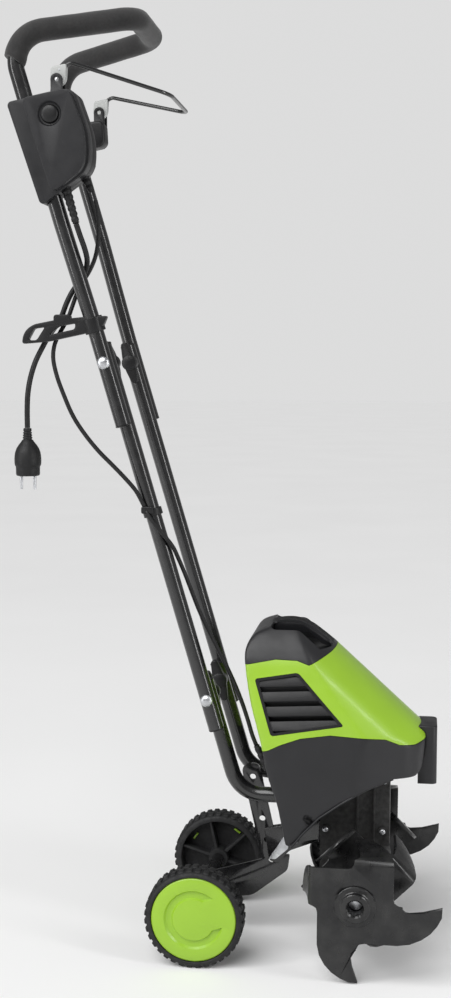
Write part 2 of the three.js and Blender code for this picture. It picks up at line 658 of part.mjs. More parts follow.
function ventGrille(side) {
  const panel = common(shell, plateY(outline(inset(GRILLE, FIT), 4), ...between(side, 60, 130)));
  const slots = Array.from({ length: 5 }, (_, i) => {
    const z = 337 + i * 15;
    const reach = (z - 323) / 89;
    const start = 107 - 24 * reach;
    const end = Math.min(197 - (z - 340) * 0.9, 196);
    return plateY(outline([[start, z], [end, z + 2], [end, z + 8], [start, z + 6]]), ...between(side, 60, 130));
  });
  return cut(panel, ...slots);
}

function housingGland() {
  return cut(rod([80, -70, 302], [97, -70, 268], 6, 16), rod([76, -70, 310], [104, -70, 254], LEAD_RADIUS + FIT, 12));
}

add(housing, 'hood', hood(), 'green');
add(housing, 'top_cap', topCap(), 'darkPlastic');
add(housing, 'skirt', skirt(), 'darkPlastic');
add(housing, 'front_bumper', frontBumper(), 'darkPlastic');
for (const [name, side] of Object.entries(SIDES)) {
  add(housing, `vent_grille_${name}`, ventGrille(side), 'blackPlastic');
}
add(housing, 'housing_lead_gland', housingGland(), 'rubber');

// ---- Motor, worm drive and gearbox --------------------------------------------------------------

const drive = assembly();

function ringZ(outer, inner, z0, z1, sides = 20) {
  return cut(rodZ(outer, WORM_X, 0, z0, z1, sides), rodZ(inner, WORM_X, 0, z0 - 1, z1 + 1, sides));
}

// The worm is cut on the lower end of the motor's own spindle.
function motorRotor() {
  const worm = rodZ(10.5, WORM_X, 0, 92, 136, 20);
  const armature = rodZ(27, WORM_X, 0, 290, 352);
  const commutator = rodZ(13, WORM_X, 0, 356, 372, 16);
  const spindle = rodZ(6, WORM_X, 0, 90, 410, 16);
  return join(spindle, armature, commutator, worm);
}

function coolingFan() {
  const hub = rodZ(14, WORM_X, 0, 384, 398);
  const disc = rodZ(40, WORM_X, 0, 384, 386.5, 20);
  const blades = Array.from({ length: 9 }, (_, i) => {
    const vane = new THREE.BoxGeometry(27, 2, 12).translate(26, 0, 6).rotateZ((2 * Math.PI * i) / 9);
    return solid(vane.translate(WORM_X, 0, 385));
  });
  return cut(join(hub, disc, ...blades), rodZ(6 + FIT, WORM_X, 0, 380, 400, 16));
}

const WHEEL_TEETH = 24;
function wormWheel() {
  const points = Array.from({ length: WHEEL_TEETH * 2 }, (_, i) => {
    const radius = i % 2 ? 28.5 : 26.3;
    const angle = (Math.PI * i) / WHEEL_TEETH;
    return [TINE_X + radius * Math.cos(angle), TINE_RADIUS + radius * Math.sin(angle)];
  });
  return cut(plateY(outline(points), -9, 9), rodY(10 + FIT, TINE_X, TINE_RADIUS, -10, 10));
}

function gearboxHalf(side) {
  const span = between(side, FIT / 2, GEARBOX_HALF);
  const casing = join(
    block([WORM_X - 18, 268], span, [150, DECK_Z - WALL - FIT]),
    block([WORM_X - 18, WORM_X + 20], span, [82, 160]),
    rodY(44, TINE_X, TINE_RADIUS, ...span, 24));
  const hollow = join(
    rodZ(13, WORM_X, 0, 86, DECK_Z + 10),
    rodY(37, TINE_X, TINE_RADIUS, ...between(side, -1, 14), 24),
    rodY(16 + FIT, TINE_X, TINE_RADIUS, ...between(side, 20, 40), 16),
    rodY(12, TINE_X, TINE_RADIUS, ...between(side, 0, 40), 16));
  const ribs = [0, 1].map((i) => block([WORM_X + 34 + i * 24, WORM_X + 37 + i * 24],
    between(side, GEARBOX_HALF - 1, GEARBOX_HALF + 3), [150, 250]));
  return cut(join(casing, ...ribs), hollow);
}

function shaftBearing(side) {
  const span = between(side, 20.3, 29.6);
  return cut(rodY(16, TINE_X, TINE_RADIUS, ...span, 16), rodY(10 + FIT, TINE_X, TINE_RADIUS, -40, 40, 16));
}

add(drive, 'motor_stator', ringZ(41, 29, 282, 360), 'castAlloy');
add(drive, 'motor_rotor', motorRotor(), 'copper');
add(drive, 'cooling_fan', coolingFan(), 'blackPlastic');
add(drive, 'worm_wheel', wormWheel(), 'brass');
add(drive, 'tine_shaft', rodY(10, TINE_X, TINE_RADIUS, -166, 166, 16), 'zinc');
for (const [name, side] of Object.entries(SIDES)) {
  add(drive, `gearbox_${name}`, gearboxHalf(side), 'castAlloy');
  add(drive, `shaft_bearing_${name}`, shaftBearing(side), 'zinc');
}

// ---- Tines --------------------------------------------------------------------------------------

const tines = assembly();
const PLATE = 4;
const BEND_AT = 58;

// One blade's stretch of the star's outline, pointing along +X before it is turned.
function bladeStretch(shape, turn, first) {
  const at = (x, y) => new THREE.Vector2(x, y).rotateAround(new THREE.Vector2(), turn);
  const lead = THREE.MathUtils.degToRad(1);
  const root = at(BEND_AT, -3);
  const tip = at(TINE_RADIUS * Math.cos(lead), TINE_RADIUS * Math.sin(lead));
  const heel = at(TINE_RADIUS * Math.cos(5.3 * lead), -TINE_RADIUS * Math.sin(5.3 * lead));
  const bow = at(88, -46);
  const back = at(46, -50);
  const foot = at(8, -50);
  const crook = at(-3, -50);
  const next = at(-3, -BEND_AT);
  if (first) shape.moveTo(root.x, root.y);
  shape.lineTo(tip.x, tip.y);
  shape.lineTo(heel.x, heel.y);
  shape.quadraticCurveTo(bow.x, bow.y, back.x, back.y);
  shape.lineTo(foot.x, foot.y);
  shape.quadraticCurveTo(crook.x, crook.y, next.x, next.y);
}

function starPlate(phase) {
  const shape = new THREE.Shape();
  for (let k = 0; k < 4; k += 1) bladeStretch(shape, phase - (k * Math.PI) / 2, k === 0);
  shape.closePath();
  return shape;
}

// A blade bent over towards the machine's middle (inward = 1) or away from it (inward = -1).
function bentBlade(turn, plateMiddle, towards) {
  const tip = extruded(outline([[-2, -47], [-2, -3], [50, 2], [51, -9], [30, -36]], [0, 0, 0, 0, 10]), PLATE)
    .translate(0, 0, -PLATE / 2)
    .rotateY(-towards * THREE.MathUtils.degToRad(78))
    .translate(BEND_AT, 0, 0)
    .rotateZ(turn);
  return solid(tip.rotateX(Math.PI / 2).translate(0, plateMiddle, 0));
}

function tineStar(side, phase, plateAt, sleeve, bends) {
  const middle = side * plateAt;
  const flat = plateY(starPlate(phase), middle - PLATE / 2, middle + PLATE / 2, 3);
  const bent = bends.map(({ blade, inward }) => {
    const turn = phase + (blade * Math.PI) / 2;
    const cutOff = new THREE.BoxGeometry(80, 140, 20).translate(BEND_AT + 41, -20, 0).rotateZ(turn);
    return {
      waste: solid(cutOff.rotateX(Math.PI / 2).translate(0, middle, 0)),
      tip: bentBlade(turn, middle, side * inward),
    };
  });
  const plate = join(cut(flat, ...bent.map((b) => b.waste)), ...bent.map((b) => b.tip));
  const tube = rodY(15, 0, 0, ...between(side, ...sleeve), 16);
  return cut(join(plate, tube), rodY(10 + FIT, 0, 0, -300, 300, 16));
}

// The outer stars carry a flange and boss; one tip of each points straight down to the ground.
const TIP_DOWN = -THREE.MathUtils.degToRad(1);
const OUTER_PLATE = 176;
const INNER_PLATE = 94;

for (const [name, side] of Object.entries(SIDES)) {
  const bent = [{ blade: 1, inward: 1 }, { blade: 2, inward: 1 }];
  const outer = tineStar(side, TIP_DOWN, OUTER_PLATE, [150, OUTER_PLATE], bent);
  const boss = cut(
    join(rodY(28, 0, 0, ...between(side, OUTER_PLATE, OUTER_PLATE + 5), 24),
      rodY(20, 0, 0, ...between(side, OUTER_PLATE, OUTER_PLATE + 12), 20)),
    rodY(10 + FIT, 0, 0, -300, 300, 16));
  const outerStar = add(tines, `tine_star_outer_${name}`, join(outer, boss), 'tineSteel');
  outerStar.position.set(TINE_X, 0, TINE_RADIUS);
  const innerBends = [{ blade: 0, inward: 1 }, { blade: 1, inward: -1 }, { blade: 2, inward: 1 },
    { blade: 3, inward: -1 }];
  const inner = tineStar(side, TIP_DOWN + Math.PI / 4, INNER_PLATE, [36, 147], innerBends);
  const innerStar = add(tines, `tine_star_inner_${name}`, inner, 'tineSteel');
  innerStar.position.set(TINE_X, 0, TINE_RADIUS);
}

// ---- Wheels and their carrier -------------------------------------------------------------------

const rolling = assembly();
const LUGS = 22;
const LUG_HALF = 0.31;            // half a lug's width, as a share of the pitch

// The lugs have flat tops at the wheel's radius, and one of them faces straight down.
function treadOutline() {
  const pitch = (2 * Math.PI) / LUGS;
  const corner = WHEEL_RADIUS / Math.cos(LUG_HALF * pitch);
  const groove = WHEEL_RADIUS - 3.5;
  const points = [];
  for (let i = 0; i < LUGS; i += 1) {
    const middle = -Math.PI / 2 + pitch * i;
    const steps = [[groove, -0.47], [corner, -LUG_HALF], [corner, LUG_HALF], [groove, 0.47]];
    for (const [radius, offset] of steps) {
      const angle = middle + offset * pitch;
      points.push([radius * Math.cos(angle), radius * Math.sin(angle)]);
    }
  }
  return outline(points);
}

function wheel(side) {
  const half = WHEEL_WIDTH / 2;
  const body = plateY(treadOutline(), -half, half);
  const dish = rodY(60.5, 0, 0, ...between(side, half - 6.5, half + 1), 28);
  const back = cut(rodY(58, 0, 0, ...between(side, -half - 1, half - 12), 24),
    rodY(15, 0, 0, -30, 30),
    ...Array.from({ length: 3 }, (_, i) => solid(
      new THREE.BoxGeometry(130, 60, 5).rotateY((Math.PI * i) / 3))));
  return cut(body, dish, back, rodY(6 + FIT, 0, 0, -30, 30, 12));
}

// A snap-in disc: its ring and the slanted bar across it stand proud of a C-shaped recess.
const COVER = { radius: 60, recess: 42, island: 29, barWidth: 41, barTilt: 18, depth: 3.5 };

function wheelCover(side) {
  const face = WHEEL_WIDTH / 2 - 0.5;
  const disc = rodY(COVER.radius, 0, 0, ...between(side, face - 5.5, face), 32);
  const island = solid(new THREE.BoxGeometry(COVER.recess + 4, 40, COVER.barWidth)
    .translate(COVER.recess / 2 + 2, side * face, 0).rotateY(-THREE.MathUtils.degToRad(COVER.barTilt)));
  const recess = cut(rodY(COVER.recess, 0, 0, ...between(side, face - COVER.depth, face + 2), 28),
    rodY(COVER.island, 0, 0, ...between(side, face - 8, face + 4), 24), island);
  return cut(disc, recess, rodY(8, 0, 0, ...between(side, 0, face - 3.5)));
}

function carrier() {
  const holeAt = (i) => BAR_TOP_HOLE.clone().addScaledVector(BAR_STEP, i);
  const down = BAR_STEP.clone().normalize();
  const across = new THREE.Vector2(-down.y, down.x).multiplyScalar(BAR_HALF_WIDTH);
  const top = holeAt(0).addScaledVector(down, -20);
  const foot = holeAt(BAR_HOLES - 1);
  const corner = (point, sign) => [point.x + sign * across.x, point.y + sign * across.y];
  const strip = outline([corner(top, 1), corner(top, -1), corner(foot, -1), corner(foot, 1)], [12, 12, 0, 0]);
  const arm = outline([[80, 112], [122, 121], [119, 97], [66, 56], [4, 50], [-4, 88]], [0, 4, 6, 8, 8, 10]);
  const thick = [-BAR_HALF_THICK, BAR_HALF_THICK];
  const holes = Array.from({ length: BAR_HOLES }, (_, i) => rodY(4.6, holeAt(i).x, holeAt(i).y, -9, 9, 10));
  const axleTube = cut(rodY(10, 0, WHEEL_RADIUS, -103, 103, 16), rodY(6 + FIT, 0, WHEEL_RADIUS, -110, 110, 12));
  const bore = rodY(6 + FIT, 0, WHEEL_RADIUS, -10, 10, 12);
  return join(cut(join(plateY(strip, ...thick), plateY(arm, ...thick)), ...holes, bore), axleTube);
}

// Two cheeks that the carrier's bar slides between, joined by a web bolted to the gearbox.
function heightGuide() {
  const cheek = outline([[84, 160], [140, 170], [167.6, 180], [167.6, 146], [122, 128], [104, 108], [92, 112]], 4);
  const inner = BAR_HALF_THICK + 0.6;
  const cheeks = [plateY(cheek, -inner - 3, -inner), plateY(cheek, inner, inner + 3)];
  const web = block([146, 167.6], [-inner - 3, inner + 3], [150, 172]);
  const flange = block([164.6, 167.6], [-20, 20], [148, 180]);
  return cut(join(...cheeks, web, flange), rodY(4 + FIT, 128, 146, -12, 12, 16));
}

function guideBolt() {
  return join(rodY(4, 128, 146, -9, 9, 16), rodY(7, 128, 146, -12, -6.6, 6), rodY(7, 128, 146, 6.6, 12, 6));
}

add(rolling, 'wheel_carrier', carrier(), 'blackTube');
add(rolling, 'wheel_axle', rodY(6, 0, WHEEL_RADIUS, -134, 134, 16), 'zinc');
add(rolling, 'height_guide', heightGuide(), 'blackTube');
add(rolling, 'guide_bolt', guideBolt(), 'zinc');
for (const [name, side] of Object.entries(SIDES)) {
  const tyre = add(rolling, `wheel_${name}`, wheel(side), 'rubber');
  const cover = add(rolling, `wheel_cover_${name}`, wheelCover(side), 'green');
  for (const piece of [tyre, cover]) piece.position.set(0, side * WHEEL_MIDDLE, WHEEL_RADIUS);
}

// ---- Whole machine ------------------------------------------------------------------------------

machine.position.x = -FOOTPRINT_MIDDLE;

const tiller = new THREE.Group();
tiller.add(machine);

export default tiller;
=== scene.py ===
# An electric garden tiller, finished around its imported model: shells, tubes, grip, wheels, tines and leads.
# Places are written in millimetres forward of the wheel axle, to the operator's left, and above the ground.
import json
from math import atan, cos, degrees, pi, radians, sin, tan

import bmesh
import bpy
from mathutils import Matrix, Vector
from mathutils.noise import noise as noise_at

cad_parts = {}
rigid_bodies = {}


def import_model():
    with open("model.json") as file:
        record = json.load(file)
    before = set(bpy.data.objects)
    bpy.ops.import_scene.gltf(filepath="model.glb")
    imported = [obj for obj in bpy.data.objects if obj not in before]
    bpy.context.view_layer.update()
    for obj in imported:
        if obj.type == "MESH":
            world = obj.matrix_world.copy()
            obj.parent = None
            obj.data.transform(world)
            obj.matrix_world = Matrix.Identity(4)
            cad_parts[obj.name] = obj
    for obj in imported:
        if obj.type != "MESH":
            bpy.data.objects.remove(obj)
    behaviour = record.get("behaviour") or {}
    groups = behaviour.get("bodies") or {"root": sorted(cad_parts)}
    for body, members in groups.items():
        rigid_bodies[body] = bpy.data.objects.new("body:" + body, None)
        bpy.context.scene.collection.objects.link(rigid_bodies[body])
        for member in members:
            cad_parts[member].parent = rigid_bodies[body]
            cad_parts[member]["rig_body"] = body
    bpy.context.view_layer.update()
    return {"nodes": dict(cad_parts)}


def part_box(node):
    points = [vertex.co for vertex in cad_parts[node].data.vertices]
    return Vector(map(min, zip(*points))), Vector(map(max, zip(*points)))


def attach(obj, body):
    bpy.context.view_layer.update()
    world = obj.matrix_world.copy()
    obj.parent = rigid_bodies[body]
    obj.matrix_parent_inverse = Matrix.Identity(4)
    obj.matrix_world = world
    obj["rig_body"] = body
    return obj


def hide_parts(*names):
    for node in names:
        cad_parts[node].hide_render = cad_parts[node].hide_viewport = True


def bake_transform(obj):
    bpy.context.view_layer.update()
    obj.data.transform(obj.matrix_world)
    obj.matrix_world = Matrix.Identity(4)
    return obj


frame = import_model()

MM = 0.001
AXLE_X = sum(corner.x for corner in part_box("wheel_axle")) / 2
RIGHT, LEFT = -1, 1
SIDES = {"right": RIGHT, "left": LEFT}
ACROSS = Vector((0, 1, 0))


def at(x, y, z):
    """A place on the machine, from millimetres to the frame's metres."""
    return Vector((AXLE_X + x * MM, y * MM, z * MM))


# ---- Driving dimensions, in millimetres -------------------------------------------------------------

TUBE_R = 11.0
FOAM_R = 15.5
LOWER_Y, MIDDLE_Y, UPPER_Y, FLARED_Y = 58.9, 82.5, 106.1, 121.0
LOWER_FOLD_X, LOWER_FOLD_Z, UPPER_FOLD_Z = 12.0, 370.0, 842.0
HANDLE_SLOPE = -0.2935
HANDLE_LEAN = atan(-HANDLE_SLOPE)

WHEEL_R, WHEEL_WIDTH, WHEEL_Y = 70.0, 35.0, 125.0
TINE_R, TINE_X = 116.0, 226.0
WALL = 3.0
CORD_R, LEAD_R = 3.75, 3.0


def on_handle(z):
    """How far forward the handle's line is at a height."""
    return LOWER_FOLD_X + HANDLE_SLOPE * (z - LOWER_FOLD_Z)


def handle_point(side, y, z):
    return (on_handle(z), side * y, z)


# ---- Finishes ---------------------------------------------------------------------------------------


def finish(name, colour, roughness, metallic=0.0, coat=0.0, coat_roughness=0.1, sheen=0.0, specular=0.5):
    """A bare finish and its shader: the constants that are the same all over the surface."""
    material = bpy.data.materials.new(name)
    material.use_nodes = True
    shader = material.node_tree.nodes["Principled BSDF"]
    shader.inputs["Base Color"].default_value = (*colour, 1)
    shader.inputs["Roughness"].default_value = roughness
    shader.inputs["Metallic"].default_value = metallic
    shader.inputs["Coat Weight"].default_value = coat
    shader.inputs["Coat Roughness"].default_value = coat_roughness
    shader.inputs["Sheen Weight"].default_value = sheen
    shader.inputs["Specular IOR Level"].default_value = specular
    return material


def noise(material, scale, detail=2.0, stretch=(1, 1, 1)):
    """Noise in the machine's own space. Scale is in cycles to the metre; stretch draws it out."""
    nodes, links = material.node_tree.nodes, material.node_tree.links
    where = nodes.new("ShaderNodeTexCoord")
    turned = nodes.new("ShaderNodeMapping")
    turned.inputs["Scale"].default_value = stretch
    links.new(where.outputs["Object"], turned.inputs["Vector"])
    pattern = nodes.new("ShaderNodeTexNoise")
    pattern.inputs["Scale"].default_value = scale
    pattern.inputs["Detail"].default_value = detail
    links.new(turned.outputs["Vector"], pattern.inputs["Vector"])
    return pattern.outputs["Fac"]


def cells(material, scale):
    """The raised cells of an eroded mould or an open foam."""
    nodes, links = material.node_tree.nodes, material.node_tree.links
    where = nodes.new("ShaderNodeTexCoord")
    pattern = nodes.new("ShaderNodeTexVoronoi")
    pattern.inputs["Scale"].default_value = scale
    links.new(where.outputs["Object"], pattern.inputs["Vector"])
    return pattern.outputs["Distance"]


def vary(material, socket, pattern, low, high, spread=(0.3, 0.7)):
    """Lets a pattern move a shader value or colour between two settings."""
    nodes, links = material.node_tree.nodes, material.node_tree.links
    shader = nodes["Principled BSDF"]
    if socket == "Base Color":
        ramp = nodes.new("ShaderNodeValToRGB")
        for stop, position, colour in zip(ramp.color_ramp.elements, spread, (low, high)):
            stop.position = position
            stop.color = (*colour, 1)
        links.new(pattern, ramp.inputs["Fac"])
        links.new(ramp.outputs["Color"], shader.inputs[socket])
        return
    ramp = nodes.new("ShaderNodeMapRange")
    for key, value in zip(("From Min", "From Max", "To Min", "To Max"), (*spread, low, high)):
        ramp.inputs[key].default_value = value
    links.new(pattern, ramp.inputs["Value"])
    links.new(ramp.outputs["Result"], shader.inputs[socket])


def relief(material, *layers):
    """Stacks bumps, each a pattern with its depth in millimetres."""
    nodes, links = material.node_tree.nodes, material.node_tree.links
    normal = None
    for pattern, depth in layers:
        bump = nodes.new("ShaderNodeBump")
        bump.inputs["Distance"].default_value = depth * MM
        bump.inputs["Strength"].default_value = 0.6
        links.new(pattern, bump.inputs["Height"])
        if normal:
            links.new(normal, bump.inputs["Normal"])
        normal = bump.outputs["Normal"]
    links.new(normal, nodes["Principled BSDF"].inputs["Normal"])


def shade(colour, by):
    return tuple(min(1.0, channel * by) for channel in colour)


def moulded(name, colour, roughness, grain=2600, depth=0.05, coat=0.0):
    """Moulded plastic with the fine grain of an eroded mould and slow changes in sheen."""
    material = finish(name, colour, roughness, coat=coat, coat_roughness=0.25, specular=0.36)
    slow = noise(material, 14, 3)
    vary(material, "Base Color", slow, shade(colour, 0.88), shade(colour, 1.1))
    vary(material, "Roughness", noise(material, 60, 4), roughness - 0.06, roughness + 0.07)
    relief(material, (cells(material, grain), depth), (noise(material, 35, 1), 0.25))
    return material


def green_shell():
    """Satin lime plastic: a smooth skin that ripples slightly where it shrank over the ribs inside."""
    colour = (0.262, 0.455, 0.022)
    material = finish("lime_shell", colour, 0.34, coat=0.25, coat_roughness=0.18)
    vary(material, "Base Color", noise(material, 9, 3), shade(colour, 0.93), shade(colour, 1.06))
    vary(material, "Roughness", noise(material, 45, 4), 0.3, 0.42)
    relief(material, (noise(material, 1500, 2), 0.02), (noise(material, 22, 1), 0.3))
    return material


def powder_coat():
    """Gloss black powder coat with its orange-peel skin."""
    material = finish("gloss_black_powder_coat", (0.006, 0.006, 0.0065), 0.24, coat=0.6, coat_roughness=0.08)
    vary(material, "Base Color", noise(material, 90, 5), (0.004, 0.004, 0.0045), (0.009, 0.009, 0.0095))
    vary(material, "Roughness", noise(material, 70, 5), 0.18, 0.34)
    relief(material, (noise(material, 420, 1), 0.06), (noise(material, 1800, 2), 0.012))
    return material


def grip_foam():
    """Closed-cell foam: matt, with small open cells and a slightly lumpy skin."""
    material = finish("black_grip_foam", (0.014, 0.0135, 0.014), 0.92, sheen=0.25)
    vary(material, "Base Color", noise(material, 40, 4), (0.01, 0.0098, 0.01), (0.021, 0.02, 0.02))
    vary(material, "Roughness", noise(material, 300, 3), 0.84, 0.98)
    open_cells, skin, lumps = cells(material, 1100), noise(material, 2400, 3), noise(material, 60, 2)
    relief(material, (open_cells, 0.3), (skin, 0.12), (lumps, 0.6))
    return material


def zinc_plate(name="zinc_plate", colour=(0.6, 0.61, 0.63), roughness=0.3):
    """Zinc-plated steel: metallic, with cloudy passivation and fine drawn lines."""
    material = finish(name, colour, roughness, metallic=1.0)
    vary(material, "Base Color", noise(material, 110, 4), shade(colour, 0.82), shade(colour, 1.12))
    vary(material, "Roughness", noise(material, 260, 5), roughness - 0.08, roughness + 0.16)
    relief(material, (noise(material, 900, 3, (1, 0.1, 1)), 0.015))
    return material


def tine_steel():
    """Hardened tine plate under dark enamel, rubbed thin and brighter in streaks."""
    material = finish("dark_tine_steel", (0.014, 0.014, 0.015), 0.26, metallic=0.4, coat=0.3,
                      coat_roughness=0.12)
    streaks = noise(material, 38, 6)
    vary(material, "Base Color", streaks, (0.008, 0.008, 0.0086), (0.024, 0.0238, 0.0236), (0.42, 0.72))
    vary(material, "Roughness", noise(material, 120, 6, (1, 1, 0.3)), 0.2, 0.46)
    relief(material, (noise(material, 700, 4), 0.03), (noise(material, 60, 2), 0.12))
    return material


def cast_alloy():
    """Sand-grained die casting for the gearbox and the motor's can."""
    material = finish("cast_alloy", (0.03, 0.0295, 0.029), 0.55, metallic=0.5)
    vary(material, "Base Color", noise(material, 130, 5), (0.02, 0.0196, 0.0194), (0.046, 0.0454, 0.0448))
    vary(material, "Roughness", noise(material, 300, 4), 0.45, 0.7)
    relief(material, (noise(material, 900, 4), 0.14), (noise(material, 150, 2), 0.1))
    return material


def sheath(name="rubber_sheath", roughness=0.5):
    """Soft black sheath of the leads, faintly ribbed and dusty."""
    material = finish(name, (0.007, 0.007, 0.0074), roughness, specular=0.34)
    vary(material, "Base Color", noise(material, 150, 4), (0.005, 0.005, 0.0054), (0.011, 0.011, 0.0116))
    vary(material, "Roughness", noise(material, 400, 3), roughness - 0.08, roughness + 0.12)
    relief(material, (noise(material, 1300, 3), 0.03))
    return material


def tyre_plastic():
    """Hard black tyre plastic, chalky on the tread."""
    material = finish("black_tyre", (0.01, 0.01, 0.0108), 0.6, specular=0.36)
    vary(material, "Base Color", noise(material, 85, 5), (0.007, 0.007, 0.0076), (0.016, 0.016, 0.0168))
    vary(material, "Roughness", noise(material, 240, 4), 0.52, 0.78)
    relief(material, (cells(material, 1900), 0.07), (noise(material, 80, 2), 0.2))
    return material


def bare_metal(name, colour):
    """A turned or wound metal part inside the machine, with its lines running round the spindle."""
    material = finish(name, colour, 0.34, metallic=1.0)
    vary(material, "Base Color", noise(material, 160, 4), shade(colour, 0.75), shade(colour, 1.15))
    vary(material, "Roughness", noise(material, 500, 4, (0.2, 0.2, 1)), 0.24, 0.5)
    relief(material, (noise(material, 1200, 2, (0.1, 0.1, 1)), 0.02))
    return material


GREEN = green_shell()
DARK = moulded("charcoal_plastic", (0.014, 0.014, 0.0155), 0.42, coat=0.06)
BLACK = moulded("black_plastic", (0.007, 0.007, 0.0076), 0.4)
GLOSSY_DARK = moulded("polished_charcoal", (0.011, 0.011, 0.0122), 0.2, grain=1800, depth=0.01, coat=0.4)
PALE = moulded("pale_grey_plastic", (0.46, 0.47, 0.46), 0.42, coat=0.1)
COAT = powder_coat()
FOAM = grip_foam()
ZINC = zinc_plate()
STEEL = tine_steel()
CAST = cast_alloy()
SHEATH = sheath()
TYRE = tyre_plastic()
COPPER = bare_metal("enamelled_copper", (0.5, 0.2, 0.09))
BRONZE = bare_metal("gear_bronze", (0.52, 0.36, 0.13))


# ---- Bench tools ------------------------------------------------------------------------------------


def lay_face(points, plane, level):
    """A sheet of one face, from an outline in the XZ, YZ or XY plane at a level on the third axis."""
    to_place = {
        "XZ": lambda a, b: at(a, level, b),
        "YZ": lambda a, b: at(level, a, b),
        "XY": lambda a, b: at(a, b, level),
    }[plane]
    sheet = bmesh.new()
    sheet.faces.new([sheet.verts.new(to_place(a, b)) for a, b in points])
    return sheet


def slab(points, plane, near, far, corners=0.0, rim=0.0, corner_steps=5, rim_steps=3):
    """A plate with its corners rounded to one radius, or to one for each corner, and its rims rolled."""
    axis = {"XZ": Vector((0, 1, 0)), "YZ": Vector((1, 0, 0)), "XY": Vector((0, 0, 1))}[plane]
    block = lay_face(points, plane, near)
    corner_places = [vert.co.copy() for vert in block.verts]
    grown = bmesh.ops.extrude_face_region(block, geom=list(block.faces))
    lifted = [part for part in grown["geom"] if isinstance(part, bmesh.types.BMVert)]
    bmesh.ops.translate(block, verts=lifted, vec=axis * (far - near) * MM)
    bmesh.ops.recalc_face_normals(block, faces=block.faces)
    radii = corners if isinstance(corners, (list, tuple)) else [corners] * len(points)
    for corner, radius in zip(corner_places, radii):
        if radius > 0:
            edges = [e for e in block.edges if is_upright(e, axis) and near_line(e, corner, axis)]
            round_off(block, edges, radius, corner_steps)
    if rim > 0:
        round_off(block, [e for e in block.edges if not is_upright(e, axis)], rim, rim_steps)
    return block


def is_upright(edge, axis):
    along = edge.verts[1].co - edge.verts[0].co
    return along.length > 1e-7 and abs(along.normalized().dot(axis)) > 0.999


def span(side, near, far):
    """Two distances out from the middle on one side of the machine, in rising order."""
    return sorted((side * near, side * far))


def swung(block, angle, pivot):
    """Turned about a line across the machine; a positive angle drops the front."""
    bmesh.ops.rotate(block, verts=block.verts, cent=pivot, matrix=Matrix.Rotation(angle, 3, "Y"))
    return block


def rim_at(block, axis, level):
    """The edges of a block that lie at one level along an axis (0, 1 or 2)."""
    return [e for e in block.edges if all(abs(v.co[axis] - level * MM) < 1e-6 for v in e.verts)]


def near_line(edge, place, axis):
    off = edge.verts[0].co - place
    return (off - axis * off.dot(axis)).length < 1e-6


def round_off(block, edges, radius, steps=3):
    bmesh.ops.bevel(block, geom=edges, offset=radius * MM, offset_type="OFFSET", segments=steps,
                    profile=0.5, affect="EDGES", clamp_overlap=True, material=-1)


def turned(profile, centre, axis, steps=48):
    """A lathe-turned piece: the profile is (radius, distance along the axis) from the centre."""
    axis = Vector(axis).normalized()
    out = axis.orthogonal().normalized()
    work = bmesh.new()
    verts = [work.verts.new(centre + out * radius * MM + axis * along * MM) for radius, along in profile]
    edges = [work.edges.new(pair) for pair in zip(verts, verts[1:])]
    bmesh.ops.spin(work, geom=verts + edges, cent=centre, axis=axis, angle=2 * pi, steps=steps,
                   use_merge=True)
    bmesh.ops.remove_doubles(work, verts=work.verts, dist=1e-6)
    bmesh.ops.recalc_face_normals(work, faces=work.faces)
    return work


def bar(start, end, radius, end_radius=None, rim=0.0, sides=32):
    """A round bar between two places."""
    end_radius = radius if end_radius is None else end_radius
    work = bmesh.new()
    bmesh.ops.create_cone(work, cap_ends=True, segments=sides, radius1=radius * MM, radius2=end_radius * MM,
                          depth=(end - start).length)
    turn = (end - start).to_track_quat("Z", "Y").to_matrix().to_4x4()
    bmesh.ops.transform(work, matrix=Matrix.Translation((start + end) / 2) @ turn, verts=work.verts)
    if rim > 0:
        caps = [f for f in work.faces if len(f.verts) > 4]
        round_off(work, list({e for f in caps for e in f.edges}), rim, 3)
    return work


def pin(x, z, y0, y1, radius, rim=0.0, sides=32):
    """A bar across the machine."""
    return bar(at(x, y0, z), at(x, y1, z), radius, rim=rim, sides=sides)


def bent_path(points, radii, step=6.0):
    """Stations along a bent tube: straight runs joined by arcs of the bend radii, all in millimetres."""
    corners = [at(*p) for p in points]
    path = [corners[0]]
    for i, radius in enumerate(radii, start=1):
        into = (corners[i] - corners[i - 1]).normalized()
        onward = (corners[i + 1] - corners[i]).normalized()
        angle = into.angle(onward)
        start = corners[i] - into * radius * MM * tan(angle / 2)
        centre = corners[i] + (onward - into).normalized() * radius * MM / cos(angle / 2)
        steps = max(2, round(degrees(angle) / step))
        for k in range(steps + 1):
            turn = Matrix.Rotation(angle * k / steps, 3, into.cross(onward).normalized())
            path.append(centre + turn @ (start - centre))
    path.append(corners[-1])
    return path


